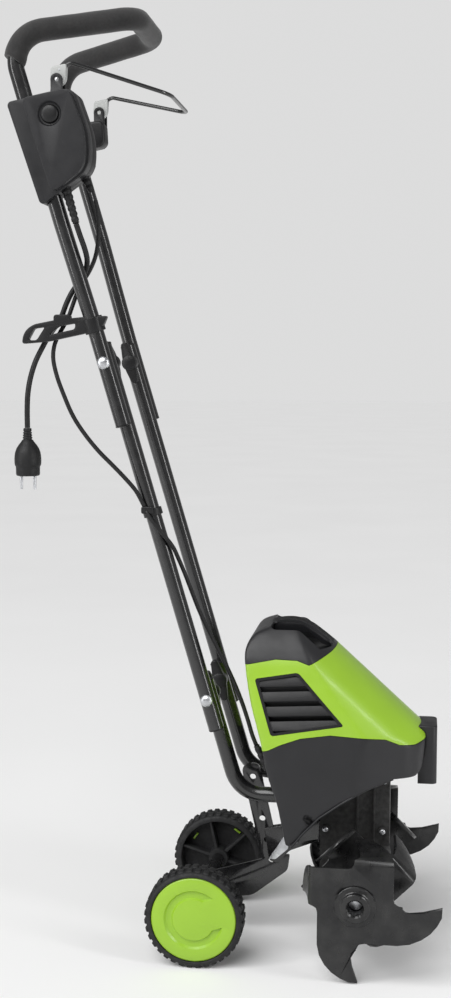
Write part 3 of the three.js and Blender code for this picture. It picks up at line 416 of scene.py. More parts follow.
def smooth_path(points, pitch=4.0):
    """Evenly spaced stations on one smooth centripetal curve through given places."""
    knots = [at(*p) for p in points]
    knots = [knots[0] * 2 - knots[1], *knots, knots[-1] * 2 - knots[-2]]
    path = []
    for p0, p1, p2, p3 in zip(knots, knots[1:], knots[2:], knots[3:]):
        t = [0.0]
        for a, b in ((p0, p1), (p1, p2), (p2, p3)):
            t.append(t[-1] + max((b - a).length, 1e-6) ** 0.5)
        steps = max(1, round((p2 - p1).length / (pitch * MM)))
        for k in range(steps):
            u = t[1] + (t[2] - t[1]) * k / steps
            a1 = p0.lerp(p1, (u - t[0]) / (t[1] - t[0]))
            a2 = p1.lerp(p2, (u - t[1]) / (t[2] - t[1]))
            a3 = p2.lerp(p3, (u - t[2]) / (t[3] - t[2]))
            b1 = a1.lerp(a2, (u - t[0]) / (t[2] - t[0]))
            b2 = a2.lerp(a3, (u - t[1]) / (t[3] - t[1]))
            path.append(b1.lerp(b2, (u - t[1]) / (t[2] - t[1])))
    path.append(knots[-2])
    return path


def drawn_curve(name, path, radius, smoothness=7, caps=True):
    """One open spline with a round section, as a curve object."""
    curve = bpy.data.curves.new(name, "CURVE")
    curve.dimensions = "3D"
    curve.bevel_depth = radius * MM
    curve.bevel_resolution = smoothness
    curve.use_fill_caps = caps
    spline = curve.splines.new("POLY")
    spline.points.add(len(path) - 1)
    for point, station in zip(spline.points, path):
        point.co = (*station, 1)
    spline.use_smooth = True
    wire = bpy.data.objects.new(name, curve)
    bpy.context.scene.collection.objects.link(wire)
    return wire


def tube_mesh(path, radius, smoothness=7):
    """The same as a closed mesh, ready for cutting and joining."""
    wire = drawn_curve("draft", path, radius, smoothness)
    bpy.context.view_layer.update()
    mesh = bpy.data.meshes.new_from_object(wire)
    work = bmesh.new()
    work.from_mesh(mesh)
    bmesh.ops.remove_doubles(work, verts=work.verts, dist=1e-7)
    bmesh.ops.recalc_face_normals(work, faces=work.faces)
    bpy.data.objects.remove(wire)
    bpy.data.meshes.remove(mesh)
    return work


def copied(node):
    """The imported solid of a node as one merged, cleaned mesh."""
    work = bmesh.new()
    work.from_mesh(frame["nodes"][node].data)
    bmesh.ops.remove_doubles(work, verts=work.verts, dist=2e-6)
    bmesh.ops.dissolve_limit(work, angle_limit=radians(0.8), verts=work.verts, edges=work.edges)
    return work


def as_object(work, name):
    mesh = bpy.data.meshes.new(name)
    work.to_mesh(mesh)
    work.free()
    made = bpy.data.objects.new(name, mesh)
    bpy.context.scene.collection.objects.link(made)
    return made


def settle(piece):
    """Applies a piece's modifiers."""
    bpy.context.view_layer.update()
    ready = piece.evaluated_get(bpy.context.evaluated_depsgraph_get())
    old, piece.data = piece.data, bpy.data.meshes.new_from_object(ready)
    piece.modifiers.clear()
    bpy.data.meshes.remove(old)
    return piece


def combine(piece, others, operation, mark_cut=False):
    """Joins to, cuts from or keeps what is common with a piece. Cut faces can be marked by a second slot."""
    for other in others:
        tool = as_object(other, "tool")
        if mark_cut:
            tool.data.materials.clear()
            tool.data.materials.append(None)
            tool.data.materials.append(None)
            tool.data.polygons.foreach_set("material_index", [1] * len(tool.data.polygons))
        step = piece.modifiers.new("step", "BOOLEAN")
        step.operation = operation
        step.solver = "EXACT"
        step.material_mode = "INDEX"
        step.object = tool
        settle(piece)
        bpy.data.objects.remove(tool)
    return piece


def joined(first, *others):
    piece = combine(as_object(first, "draft"), others, "UNION")
    return back_to_bench(piece)


def drilled(first, *others):
    piece = combine(as_object(first, "draft"), others, "DIFFERENCE")
    return back_to_bench(piece)


def kept_in(first, other):
    """The part of one solid that lies inside another."""
    return back_to_bench(combine(as_object(first, "draft"), [other], "INTERSECT"))


def back_to_bench(piece):
    work = bmesh.new()
    work.from_mesh(piece.data)
    bpy.data.objects.remove(piece)
    return work


def gathered(*works):
    """Several loose solids as one mesh."""
    whole = bmesh.new()
    for work in works:
        mesh = bpy.data.meshes.new("draft")
        work.to_mesh(mesh)
        work.free()
        whole.from_mesh(mesh)
        bpy.data.meshes.remove(mesh)
    return whole


def place(work, name, material, body, replaces=(), edge=0.0, sharp=32.0, edge_steps=2):
    """Turns bench work into a finished piece on its body: eased edges, smooth shading and finish, with the
    parts it replaces hidden.
    """
    piece = as_object(work, name)
    if edge > 0:
        ease = piece.modifiers.new("eased_edges", "BEVEL")
        ease.width = edge * MM
        ease.segments = edge_steps
        ease.limit_method = "ANGLE"
        ease.angle_limit = radians(sharp)
        ease.miter_outer = "MITER_ARC"
        ease.use_clamp_overlap = True
        settle(piece)
    piece.data.materials.clear()
    piece.data.materials.append(material)
    piece.data.polygons.foreach_set("material_index", [0] * len(piece.data.polygons))
    piece.data.shade_smooth()
    piece.data.set_sharp_from_angle(angle=radians(sharp + 8))
    return mount(piece, body, replaces)


def mount(piece, body, replaces=()):
    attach(piece, body)
    if replaces:
        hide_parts(*replaces)
    return piece


def finished_copy(node, material, body, edge=0.8, sharp=32.0):
    """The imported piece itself, with its edges eased and its facets smoothed."""
    return place(copied(node), node + "_finished", material, body, (node,), edge, sharp)


# ---- Camera, floor and light ------------------------------------------------------------------------

ROOM_LIGHT, SUN_LIGHT, BACKDROP = 0.3, 2.5, 0.72


def stand_camera():
    """Low on the operator's right, looking a little back along the machine."""
    lens = bpy.data.cameras.new("camera")
    lens.lens = 50.79
    lens.sensor_width = 36.0
    camera = bpy.data.objects.new("camera", lens)
    camera.location = (0.2606, -2.0122, 0.8406)
    camera.rotation_euler = (radians(84.52), 0, radians(7.8))
    bpy.context.scene.collection.objects.link(camera)
    bpy.context.scene.camera = camera


def lay_floor():
    floor = bmesh.new()
    bmesh.ops.create_grid(floor, x_segments=1, y_segments=1, size=30.0)
    floor = as_object(floor, "studio_floor")
    floor.location.z = -0.0005
    paint = finish("floor_paint", (0.86, 0.86, 0.86), 0.7)
    vary(paint, "Base Color", noise(paint, 1.5, 2), (0.85, 0.85, 0.85), (0.87, 0.87, 0.87))
    floor.data.materials.append(paint)


def softbox(name, place_m, aim_m, width, height, watts):
    light = bpy.data.lights.new(name, "AREA")
    light.shape = "RECTANGLE"
    light.size = width
    light.size_y = height
    light.energy = watts
    lamp = bpy.data.objects.new(name, light)
    lamp.location = place_m
    lamp.rotation_euler = (Vector(aim_m) - Vector(place_m)).to_track_quat("-Z", "Y").to_euler()
    bpy.context.scene.collection.objects.link(lamp)


def light_studio():
    """A pale room, a broad soft sun from over the operator's shoulder, and two strips for long highlights."""
    world = bpy.data.worlds.new("studio")
    world.use_nodes = True
    nodes, links = world.node_tree.nodes, world.node_tree.links
    around, seen = nodes["Background"], nodes.new("ShaderNodeBackground")
    around.inputs["Color"].default_value = (1, 1, 1, 1)
    around.inputs["Strength"].default_value = ROOM_LIGHT
    seen.inputs["Color"].default_value = (1, 1, 1, 1)
    seen.inputs["Strength"].default_value = BACKDROP
    rays, mixed = nodes.new("ShaderNodeLightPath"), nodes.new("ShaderNodeMixShader")
    links.new(rays.outputs["Is Camera Ray"], mixed.inputs["Fac"])
    links.new(around.outputs["Background"], mixed.inputs[1])
    links.new(seen.outputs["Background"], mixed.inputs[2])
    links.new(mixed.outputs["Shader"], nodes["World Output"].inputs["Surface"])
    bpy.context.scene.world = world
    sun = bpy.data.lights.new("soft_sun", "SUN")
    sun.energy = SUN_LIGHT
    sun.angle = radians(50)
    lamp = bpy.data.objects.new("soft_sun", sun)
    lamp.rotation_euler = (radians(38), radians(-22), 0)
    bpy.context.scene.collection.objects.link(lamp)
    aim = (0, 0, 0.6)
    softbox("side_strip", (2.4, -1.2, 1.3), aim, 0.35, 2.6, 26)
    softbox("left_strip", (-2.3, -1.5, 1.5), aim, 0.35, 2.6, 22)
    bpy.context.scene.view_settings.view_transform = "Standard"


stand_camera()
lay_floor()
light_studio()

# ---- Leads and plug ---------------------------------------------------------------------------------

MAINS_POINTS = [
    (-160.6, -126, 1029), (-155, -125, 1012), (-150, -119, 994), (-150, -108, 980), (-156, -98, 966),
    (-166, -95, 952), (-176, -96, 937), (-183, -98, 922), (-189, -99.5, 906), (-197, -99.5, 893),
    (-207, -99.5, 880), (-216, -101, 864), (-225, -106, 844), (-231, -111, 822), (-234, -115, 800),
    (-235, -116, 778), (-235, -116, 752.5),
]
LEAD_TO_HOOK_POINTS = [
    (-137.6, -108, 1062), (-135, -105, 1044), (-136, -99, 1024), (-139, -91, 1004), (-144, -87, 986),
    (-152, -86, 969), (-162, -87, 953), (-169, -90, 938), (-174, -95, 922), (-179, -99, 906),
    (-186, -99.5, 893), (-193, -99.5, 881.5),
]
LEAD_LOOP_POINTS = [
    (-193.2, -99.5, 881.1), (-199, -100, 868), (-201, -102, 850), (-196, -104, 826), (-186, -104, 798),
    (-173, -103, 768), (-156, -102, 742), (-137, -101, 719), (-118, -100, 700), (-100, -98, 681),
    (-86, -96, 664), (-77, -95, 647), (-73.5, -95, 640.4),
]
LEAD_LOWER_POINTS = [
    (-73.0, -95.3, 639.2), (-67, -98, 628), (-57, -99.5, 616), (-46, -97, 602), (-36, -88, 586),
    (-30, -77, 568), (-22, -69, 545), (-13, -66, 520), (-3, -65, 494), (10, -65, 466),
    (24, -66, 439), (38, -67, 412), (50, -68, 386), (60, -69, 361), (68, -69.5, 337), (74, -70, 317),
    (79.7, -70, 302.6),
]


def moulded_plug():
    """A straight two-pin plug: ribbed neck, flared shoulders, waisted grip and a flat pin face."""
    top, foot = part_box("plug")[1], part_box("plug")[0]
    centre = Vector(((top.x + foot.x) / 2, (top.y + foot.y) / 2, top.z))
    profile = [(0, 0), (5.2, 0), (5.6, -1)]
    for rib in range(4):
        start = -2 - rib * 3.4
        profile += [(5.7 + rib * 0.3, start), (5.8 + rib * 0.3, start - 1.9),
                    (5.0 + rib * 0.3, start - 2.1), (5.0 + rib * 0.3, start - 3.2)]
    profile += [(7.6, -16.5), (9.2, -19), (12.4, -23), (15.6, -28), (17.4, -33), (18.3, -38), (18.6, -43),
                (18.5, -48), (18.2, -50.5), (17.6, -52), (16.9, -53), (16.6, -56), (16.6, -63.5),
                (15.8, -65.4), (14.2, -66), (0, -66)]
    body = turned(profile, centre, (0, 0, 1), 56)
    grips = []
    for side in (-1, 1):
        for row in range(4):
            x, z = centre.x + side * 19.4 * MM, centre.z - (36 + row * 4.2) * MM
            grips.append(bar(Vector((x, centre.y - 0.02, z)), Vector((x, centre.y + 0.02, z)), 1.5, sides=12))
    body = drilled(body, *grips)
    pins = []
    for offset in (-9.5, 9.5):
        pin_top = centre + Vector((offset * MM, 0, -65.5 * MM))
        pins.append(bar(pin_top, pin_top + Vector((0, 0, -19.4 * MM)), 2.3, 2.0, rim=0.9, sides=24))
    plug = place(gathered(body), "mains_plug", SHEATH, "upper_handle", ("plug",), edge=0.3)
    blades = place(gathered(*pins), "plug_pins", ZINC, "upper_handle", ("plug",))
    return plug, blades


def hang_mains_cord():
    path = smooth_path(MAINS_POINTS, 6.0)
    cord = drawn_curve("mains_cord_sheath", path, CORD_R)
    cord.data.materials.append(SHEATH)
    mount(cord, "upper_handle", ("mains_cord",))
    plug, blades = moulded_plug()


def run_motor_lead():
    """Box to hook, hook to clip, clip to housing: each run ends in the object it meets."""
    path = smooth_path(LEAD_TO_HOOK_POINTS, 6.0)
    lead = drawn_curve("motor_lead_to_hook", path, LEAD_R)
    lead.data.materials.append(SHEATH)
    mount(lead, "upper_handle", ("motor_lead_upper",))
    for name, node, points, upper, lower in (
        ("motor_lead_hook_to_clip", "motor_lead_loop", LEAD_LOOP_POINTS, "upper_handle", "middle_handle"),
        ("motor_lead_clip_to_housing", "motor_lead_lower", LEAD_LOWER_POINTS, "middle_handle", "chassis"),
    ):
        path = smooth_path(points, 6.0)
        lead = as_object(tube_mesh(path, LEAD_R, 4), name)
        lead.data.materials.append(SHEATH)
        lead.data.shade_smooth()
        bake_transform(lead)
        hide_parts(node)


hang_mains_cord()
run_motor_lead()

# ---- Hood, cap, skirt and bumper --------------------------------------------------------------------

# The housing's outer form is where three outlines meet: from the side, from the end and from above.
SIDE_LINE = [(62, 448), (78, 463), (112, 476), (146, 472), (190, 439), (302, 337), (319, 322), (312, 262),
             (272, 259), (235, 247), (201, 230), (168, 206), (145, 182), (130, 163), (124, 168), (112, 230),
             (99, 262), (88, 314), (72, 371), (64, 421)]
END_HALF = [(104, 150), (104, 262), (98, 322), (88, 400), (78, 444), (50, 474), (20, 482)]
PLAN_HALF = [(50, 66), (84, 106), (210, 108), (302, 70), (324, 34)]
CAP_SEAM = [(20, 419), (67, 421), (108, 429), (138, 428), (155, 422), (184, 435), (215, 452), (345, 520)]
GREEN_SEAM = [(40, 290), (60, 294), (99, 303), (116, 311), (144, 321), (186, 327), (234, 324), (262, 321),
              (282, 312), (303, 310), (345, 319)]
LIP_LINE = [(40, 120), (126, 150), (133, 168), (148, 187), (171, 211), (204, 235), (237, 252), (273, 264),
            (345, 266)]
SEAM_GAP = 0.35
SKIN_PITCH = 2.6
TUBE_Z = 228.0
DECK_Z = 264.0

# The long slope is crowned across: half its section, as distance from the middle and fall.
SLOPE_TOP, SLOPE_FOOT = (190, 439), (302, 337)
CROWN = [(118, -420), (104, -66), (80, -28), (55, -12), (30, -3)]

GRILLE = [(79, 402), (140, 412), (205, 340), (103, 323)]
LOUVRES, LOUVRE_TILT = 4, -0.05
POCKET = {"x0": 98, "x1": 184, "half": 57, "floor": 434, "bar_half": 14, "bar_z": 456}
BUMPER = {"x0": 307, "x1": 334, "half": 30, "z0": 244, "z1": 328}


def mirrored(half):
    """A whole outline from its half, listed as distance out and height."""
    return half + [(-y, z) for y, z in reversed(half)]


def both_sides(half):
    """A whole plan from its half, listed as distance forward and distance out."""
    return half + [(x, -y) for x, y in reversed(half)]


def inset(points, by):
    """An outline with every edge moved inwards."""
    area = sum(a[0] * b[1] - b[0] * a[1] for a, b in zip(points, points[1:] + points[:1]))
    sign = 1 if area > 0 else -1
    moved = []
    for (ax, ay), (bx, by_) in zip(points, points[1:] + points[:1]):
        along = Vector((bx - ax, by_ - ay)).normalized()
        moved.append((Vector((ax, ay)) + Vector((-along.y, along.x)) * sign * by, along))
    inner = []
    for (start, along), (last, last_along) in zip(moved, moved[-1:] + moved[:-1]):
        travel = (start - last).cross(along) / last_along.cross(along)
        inner.append(tuple(last + last_along * travel))
    return inner


def two_slots(piece):
    piece.data.materials.append(None)
    piece.data.materials.append(None)
    return piece


def crowned_slope():
    """A long bar of crowned section lying down the slope."""
    down = Vector((SLOPE_FOOT[0] - SLOPE_TOP[0], 0, SLOPE_FOOT[1] - SLOPE_TOP[1])).normalized()
    section = CROWN + [(0, 0)] + [(-y, fall) for y, fall in reversed(CROWN)]
    prism = slab(section, "YZ", -300, 300, corners=[0] + [12] * (len(section) - 2) + [0], corner_steps=4)
    bmesh.ops.translate(prism, verts=prism.verts, vec=-at(0, 0, 0))
    swung(prism, -atan(down.z / down.x), (0, 0, 0))
    bmesh.ops.translate(prism, verts=prism.verts, vec=at(SLOPE_TOP[0], 0, SLOPE_TOP[1]))
    return prism


def housing_form():
    """The whole outer form of the housing, with its creases melted to soft moulded shoulders."""
    form = as_object(slab(SIDE_LINE, "XZ", -120, 120, corners=16, corner_steps=4), "form")
    end = slab(mirrored(END_HALF), "YZ", 40, 340, corners=24, corner_steps=4)
    plan = slab(both_sides(PLAN_HALF), "XY", 100, 500, corners=28, corner_steps=4)
    combine(form, [end, plan, crowned_slope()], "INTERSECT")
    skin = form.modifiers.new("skin", "REMESH")
    skin.mode = "VOXEL"
    skin.voxel_size = SKIN_PITCH * MM
    soften = form.modifiers.new("soften", "SMOOTH")
    soften.factor = 0.5
    soften.iterations = 16
    settle(form)
    return two_slots(form)


def form_copy(form, shift=(0, 0, 0)):
    """The outer form as a solid to trim with, moved a little in millimetres."""
    solid = bmesh.new()
    solid.from_mesh(form.data)
    bmesh.ops.translate(solid, verts=solid.verts, vec=Vector(shift) * MM)
    return solid


def above(line, lift):
    return slab([(x, z + lift) for x, z in line] + [(line[-1][0], 600), (line[0][0], 600)], "XZ", -135, 135)


def below(line, drop):
    return slab([(x, z - drop) for x, z in line] + [(line[-1][0], 0), (line[0][0], 0)], "XZ", -135, 135)


def shell_from(form, keep, openings, wall=WALL):
    """A moulded shell: the part of the form inside some bands, with openings, one wall thick."""
    draft = form.copy()
    draft.data = form.data.copy()
    bpy.context.scene.collection.objects.link(draft)
    combine(draft, keep, "INTERSECT", mark_cut=True)
    combine(draft, openings, "DIFFERENCE", mark_cut=True)
    skin = back_to_bench(draft)
    cut_faces = [face for face in skin.faces if face.material_index == 1]
    bmesh.ops.delete(skin, geom=cut_faces, context="FACES")
    bmesh.ops.remove_doubles(skin, verts=skin.verts, dist=2e-5)
    bmesh.ops.dissolve_degenerate(skin, edges=skin.edges, dist=2e-5)
    shell = as_object(skin, "draft")
    thick = shell.modifiers.new("wall", "SOLIDIFY")
    thick.thickness = wall * MM
    thick.offset = -1
    thick.use_even_offset = False
    settle(shell)
    return back_to_bench(shell)


def window(points, side, round_by=4.0):
    return slab(points, "XZ", side * 60, side * 130, corners=round_by)


def wall_y(z):
    """How far out the housing's side stands at a height, over the grille."""
    (y0, z0), (y1, z1) = END_HALF[2], END_HALF[3]
    return y0 + (y1 - y0) * (z - z0) / (z1 - z0)


def grille(form, name, side):
    """A louvred grille: a thin frame, overlapping blades that lean out at their foot, and behind them a black
    sheet of painted shade that stands in for the shadow inside the vent.
    """
    outer, inner = window(inset(GRILLE, SEAM_GAP), side), window(inset(GRILLE, 4), side, 3)
    frame_ring = shell_from(form, [outer], [inner], 5)
    opening = inset(GRILLE, 3.2)
    heights = [z for _, z in GRILLE]
    low, high = min(heights), max(heights)
    pitch = (high - low) / (LOUVRES + 0.35)
    blades = []
    for i in range(-1, LOUVRES + 1):
        foot = low + pitch * (i + 0.35)
        y = wall_y(foot)
        section = [(side * (y - 1.0), foot + pitch * 0.1), (side * (y - 3.2), foot - 0.4),
                   (side * (y - 13), foot + pitch * 0.62), (side * (y - 6), foot + pitch * 0.72)]
        blade = slab(section, "YZ", 60, 215, corners=0.9, corner_steps=3)
        swung(blade, LOUVRE_TILT, at(140, 0, foot))
        blades.append(kept_in(blade, window(opening, side, 2)))
    # Painted shade: a black sheet behind the blades, standing in for the shadow inside the vent.
    back = slab(opening, "XZ", side * 74, side * 77, corners=3)
    node = f"vent_grille_{name}"
    place(gathered(frame_ring, *blades), f"vent_louvres_{name}", BLACK, "chassis", (node,), sharp=40)
    place(back, f"vent_shade_sheet_{name}", BLACK, "chassis", (node,))


def hood(form):
    nose_room = slab([(296, -31), (345, -31), (345, 31), (296, 31)], "XY", 240, 316)
    openings = [window(GRILLE, side) for side in SIDES.values()]
    shell = shell_from(form, [above(GREEN_SEAM, SEAM_GAP), below(CAP_SEAM, SEAM_GAP)], [*openings, nose_room])
    place(shell, "green_hood", GREEN, "chassis", ("hood",), sharp=38)


def rectangle(x0, x1, y0, y1):
    return [(x0, y0), (x1, y0), (x1, y1), (x0, y1)]


def cap(form):
    """The dark cap over the motor, with a pocket either side of a bar to carry the machine by."""
    x0, x1, half = POCKET["x0"], POCKET["x1"], POCKET["half"]
    floor, bar_half, bar_z = POCKET["floor"], POCKET["bar_half"], POCKET["bar_z"]
    mouths = [slab(rectangle(x0, x1, *span(side, bar_half, half)), "XY", 440, 520, corners=7)
              for side in SIDES.values()]
    shell = shell_from(form, [above(CAP_SEAM, SEAM_GAP)], mouths)
    place(shell, "motor_cap", DARK, "chassis", ("top_cap",), sharp=38)
    tub = slab(rectangle(x0 - 2.6, x1 + 2.6, -half - 2.6, half + 2.6), "XY", floor - WALL, 520, corners=9)
    hollow = slab(rectangle(x0, x1, -half, half), "XY", floor, 530, corners=7)
    tub = combine(as_object(tub, "draft"), [hollow], "DIFFERENCE")
    tub = back_to_bench(combine(tub, [form_copy(form, (0, 0, -0.6))], "INTERSECT"))
    place(tub, "hand_hold_pocket", BLACK, "chassis", ("top_cap",), sharp=38)
    grip_line = [(x0 - 2, bar_z), (x0 - 2, 500), (x1 + 2, 500), (x1 + 2, 434), (168, 440), (150, bar_z)]
    grip = kept_in(slab(grip_line, "XZ", -bar_half + 0.5, bar_half - 0.5), form_copy(form))
    place(grip, "carrying_bar", GLOSSY_DARK, "chassis", ("top_cap",), edge=1.4, sharp=38)


def skirt(form):
    """The dark lower shell that carries the deck, open underneath where the tines turn."""
    tubes = [bar(at(60, side * LOWER_Y, TUBE_Z), at(140, side * LOWER_Y, TUBE_Z), TUBE_R + 0.5)
             for side in SIDES.values()]
    front = slab(rectangle(300, 345, -30.3, 30.3), "XY", 230, 345)
    screw_ways = [bar(at(139, side * 135, 226), at(167, side * 88, 196), 5.2,
                      sides=24) for side in SIDES.values()]
    openings = [below(LIP_LINE, 0), front, lead_hole(), *tubes, *screw_ways]
    shell = shell_from(form, [below(GREEN_SEAM, SEAM_GAP)], openings)
    place(shell, "dark_skirt", DARK, "chassis", ("skirt",), sharp=38)
    for name, side in SIDES.items():
        route = [(x, side * lip_y(x), z - 0.5) for x, z in LIP_LINE[2:-1]]
        lip = bent_path(route, [30] * (len(route) - 2), 5)
        place(tube_mesh(lip, 1.6, 3), f"skirt_lip_{name}", DARK, "chassis", ("skirt",))
    for name, side in SIDES.items():
        well = bar(at(139, side * 135, 226), at(167, side * 88, 196), 7.4, sides=32)
        hollow = bar(at(136, side * 140, 229), at(164, side * 93, 199), 5.2, sides=24)
        well = drilled(kept_in(well, form_copy(form)), hollow)
        place(well, f"skirt_screw_well_{name}", BLACK, "chassis", ("skirt",), sharp=40)
    half_deck = [(104, 94), (210, 97), (294, 62), (304, 32)]
    deck = slab(both_sides(half_deck), "XY", DECK_Z - WALL, DECK_Z, corners=10)
    deck = drilled(deck, bar(at(186, 0, 240), at(186, 0, 290), 13), lead_hole())
    place(deck, "skirt_deck", DARK, "chassis", ("skirt",), edge=0.4)


def lead_hole():
    return bar(at(76, -70, 310), at(106, -70, 250), 6.3)


def lip_y(x):
    """How far out the skirt's lower edge stands, following the plan outline."""
    for (x0, y0), (x1, y1) in zip(PLAN_HALF, PLAN_HALF[1:]):
        if x <= x1:
            return y0 + (y1 - y0) * (x - x0) / (x1 - x0) - 2.6
    return PLAN_HALF[-1][1]


def bumper(form):
    x0, x1, half, z0, z1 = (BUMPER[key] for key in ("x0", "x1", "half", "z0", "z1"))
    block = slab(rectangle(x0, x1, -half, half), "XY", z0, z1, corners=[0, 8, 8, 0])
    round_off(block, rim_at(block, 2, z1), 2.0)
    hollow = slab(rectangle(x0 - 5, x1 - WALL, -half + WALL, half - WALL), "XY", z0 - 5, z1 - WALL,
                  corners=[0, 5, 5, 0])
    block = drilled(block, hollow, form_copy(form, (0.5, 0, 0)))
    loose = [v for v in block.verts if v.co.x < at(x0 - 1, 0, 0).x]
    bmesh.ops.delete(block, geom=loose, context="VERTS")
    place(block, "nose_bumper", DARK, "chassis", ("front_bumper",), edge=0.4)


form = housing_form()
hood(form)
cap(form)
skirt(form)
bumper(form)
for name, side in SIDES.items():
    grille(form, name, side)
bpy.data.objects.remove(form)

# ---- Handle tubes, grip and fold bolts --------------------------------------------------------------

FLARE_LOW_Z, FLARE_HIGH_Z = 880, 1030
GRIP_BEND, GRIP_FRONT, GRIP_FRONT_Y = (-255.6, 1282.4), (-88, 1312.6), 66
FOAM_START_Z = 1247
UPPER_END_Z, MIDDLE_TOP_Z, MIDDLE_FOOT_Z = 756, 868, 327
FOLDS = (
    {"name": "upper", "z": UPPER_FOLD_Z, "outer": UPPER_Y, "body": "middle_handle"},
    {"name": "lower", "z": LOWER_FOLD_Z, "outer": MIDDLE_Y, "body": "chassis"},
)


def upper_handle_path():
    def half(side):
        return [handle_point(side, UPPER_Y, UPPER_END_Z), handle_point(side, UPPER_Y, FLARE_LOW_Z),
                handle_point(side, FLARED_Y, FLARE_HIGH_Z), (GRIP_BEND[0], side * FLARED_Y, GRIP_BEND[1]),
                (GRIP_FRONT[0], side * GRIP_FRONT_Y, GRIP_FRONT[1])]
    return bent_path(half(RIGHT) + half(LEFT)[::-1], [120, 120, 45, 32, 32, 45, 120, 120], 5)


def restationed(path, pitch):
    """The same line with stations at an even pitch, in millimetres."""
    stations, carry = [path[0]], 0.0
    for a, b in zip(path, path[1:]):
        length = (b - a).length
        reach = pitch * MM - carry
        while reach < length:
            stations.append(a.lerp(b, reach / length))
            reach += pitch * MM
        carry = length - (reach - pitch * MM)
    return stations + [path[-1]]


def tube_end(centre, along):
    """A low plastic plug that closes a tube's end."""
    return turned([(0, 1.6), (7, 1.5), (10.2, 0.9), (11.2, 0), (11.2, -1.2), (0, -1.2)], centre, along, 32)


def upper_tube():
    path = upper_handle_path()
    place(tube_mesh(path, TUBE_R, 9), "handle_loop_tube", COAT, "upper_handle", ("upper_handle_tube",),
          sharp=45)
    ends = [tube_end(a, a - b) for a, b in ((path[0], path[1]), (path[-1], path[-2]))]
    place(gathered(*ends), "handle_loop_end_plugs", BLACK, "upper_handle", ("upper_handle_tube",))


def foam_sleeve():
    """The foam sleeve: rounded ends and a slightly lumpy skin."""
    start, end = (at(*handle_point(side, FLARED_Y, FOAM_START_Z)) for side in (RIGHT, LEFT))
    inner = [p for p in upper_handle_path() if p.z > (FOAM_START_Z + 1) * MM]
    path = restationed([start, *inner, end], 3.0)
    sleeve = tube_mesh(path, FOAM_R - 0.25, 11)
    caps = [f for f in sleeve.faces if len(f.verts) > 8]
    round_off(sleeve, list({e for f in caps for e in f.edges}), 3.0, 4)
    for vert in sleeve.verts:
        soft = noise_at(vert.co * 55) * 0.22 + noise_at(vert.co * 160) * 0.1
        vert.co += vert.normal * soft * MM
    foam = place(sleeve, "grip_sleeve", FOAM, "upper_handle", ("foam_grip",), sharp=60)


def side_tubes(name, side):
    ends = [at(*handle_point(side, MIDDLE_Y, z)) for z in (MIDDLE_TOP_Z, MIDDLE_FOOT_Z)]
    place(tube_mesh(ends, TUBE_R, 9), f"middle_handle_tube_{name}", COAT, "middle_handle",
          (f"middle_tube_{name}",), sharp=45)
    plugs = [tube_end(a, a - b) for a, b in (ends, ends[::-1])]
    place(gathered(*plugs), f"middle_tube_end_plugs_{name}", BLACK, "middle_handle", (f"middle_tube_{name}",))
    path = bent_path([handle_point(side, LOWER_Y, 392), handle_point(side, LOWER_Y, TUBE_Z),
                      (150, side * LOWER_Y, TUBE_Z)], [45], 4)
    place(tube_mesh(path, TUBE_R, 9), f"lower_handle_tube_{name}", COAT, "chassis", (f"lower_tube_{name}",),
          sharp=45)
    place(tube_end(path[0], path[0] - path[1]), f"lower_tube_end_plug_{name}", BLACK, "chassis",
          (f"lower_tube_{name}",))


def fold_bolt(fold, name, side):
    """A cup-headed carriage bolt on its washer, right through both tubes, with its nut at the knob's end."""
    centre = at(on_handle(fold["z"]), side * (fold["outer"] + TUBE_R + 0.3), fold["z"])
    out = ACROSS * side
    head = turned([(0, 5.4), (3.2, 5.1), (6, 4.1), (8, 2.4), (8.9, 0.9), (8.9, 0.2), (4, 0.2), (3.9, -59.5),
                   (3.2, -60), (0, -60)], centre, out, 40)
    place(head, f"{fold['name']}_carriage_bolt_{name}", ZINC, fold["body"],
          (f"{fold['name']}_fold_bolt_{name}",), sharp=45)


def wing_knob(fold, name, side):
    """A wing nut moulded in one piece: round hub, two thick wings along the tube, and a closed end."""
    x, z, y = on_handle(fold["z"]), fold["z"], fold["outer"] - 34.6 - 0.3
    centre = at(x, side * y, z)
    wing = [(x - 31, z - 4.6), (x - 9, z - 8.6), (x + 9, z - 8.6), (x + 31, z - 4.6),
            (x + 31, z + 4.6), (x + 9, z + 8.6), (x - 9, z + 8.6), (x - 31, z + 4.6)]
    wings = slab(wing, "XZ", *span(side, y - 4.2, y - 15), corners=3.5, rim=1.6)
    hub = turned([(0, -17), (9.6, -17), (11.2, -15.8), (11.5, -14), (11.5, -1.2), (10.6, 0), (4.4, 0),
                  (4.4, -13), (0, -13)], centre, ACROSS * side, 40)
    knob = swung(joined(wings, hub), pi / 2 - HANDLE_LEAN, centre)
    place(knob, f"{fold['name']}_wing_knob_{name}", BLACK, f"{fold['name']}_knob_{name}",
          (f"{fold['name']}_fold_knob_{name}",), edge=0.6, sharp=40)


upper_tube()
foam_sleeve()
for name, side in SIDES.items():
    side_tubes(name, side)
    for fold in FOLDS:
        fold_bolt(fold, name, side)
        wing_knob(fold, name, side)

# ---- Switch box, bail and lead fittings -------------------------------------------------------------

BOX_LINE = [(-252, 1190), (-160, 1208), (-134, 1134), (-142, 1097), (-206, 1052)]
BOX_ROUNDS = [7, 13, 26, 20, 8]
COVER_LINE = [(-228, 1193), (-163, 1205.5), (-137, 1134), (-145, 1099), (-188, 1067)]
COVER_ROUNDS = [9, 12, 26, 20, 12]
BOX_INNER, BOX_SPLIT, BOX_SHOULDER, BOX_FACE = 97, 121, 140, 151
BUTTON_X, BUTTON_Z = -190, 1172
PIVOT_X, PIVOT_Z, BAIL_Y = -183, 1219, 127
BAIL_R = 2.75


def tube_way(side, clearance=0.4):
    return bar(at(*handle_point(side, FLARED_Y, 1030)), at(*handle_point(side, FLARED_Y, 1245)),
               TUBE_R + clearance)


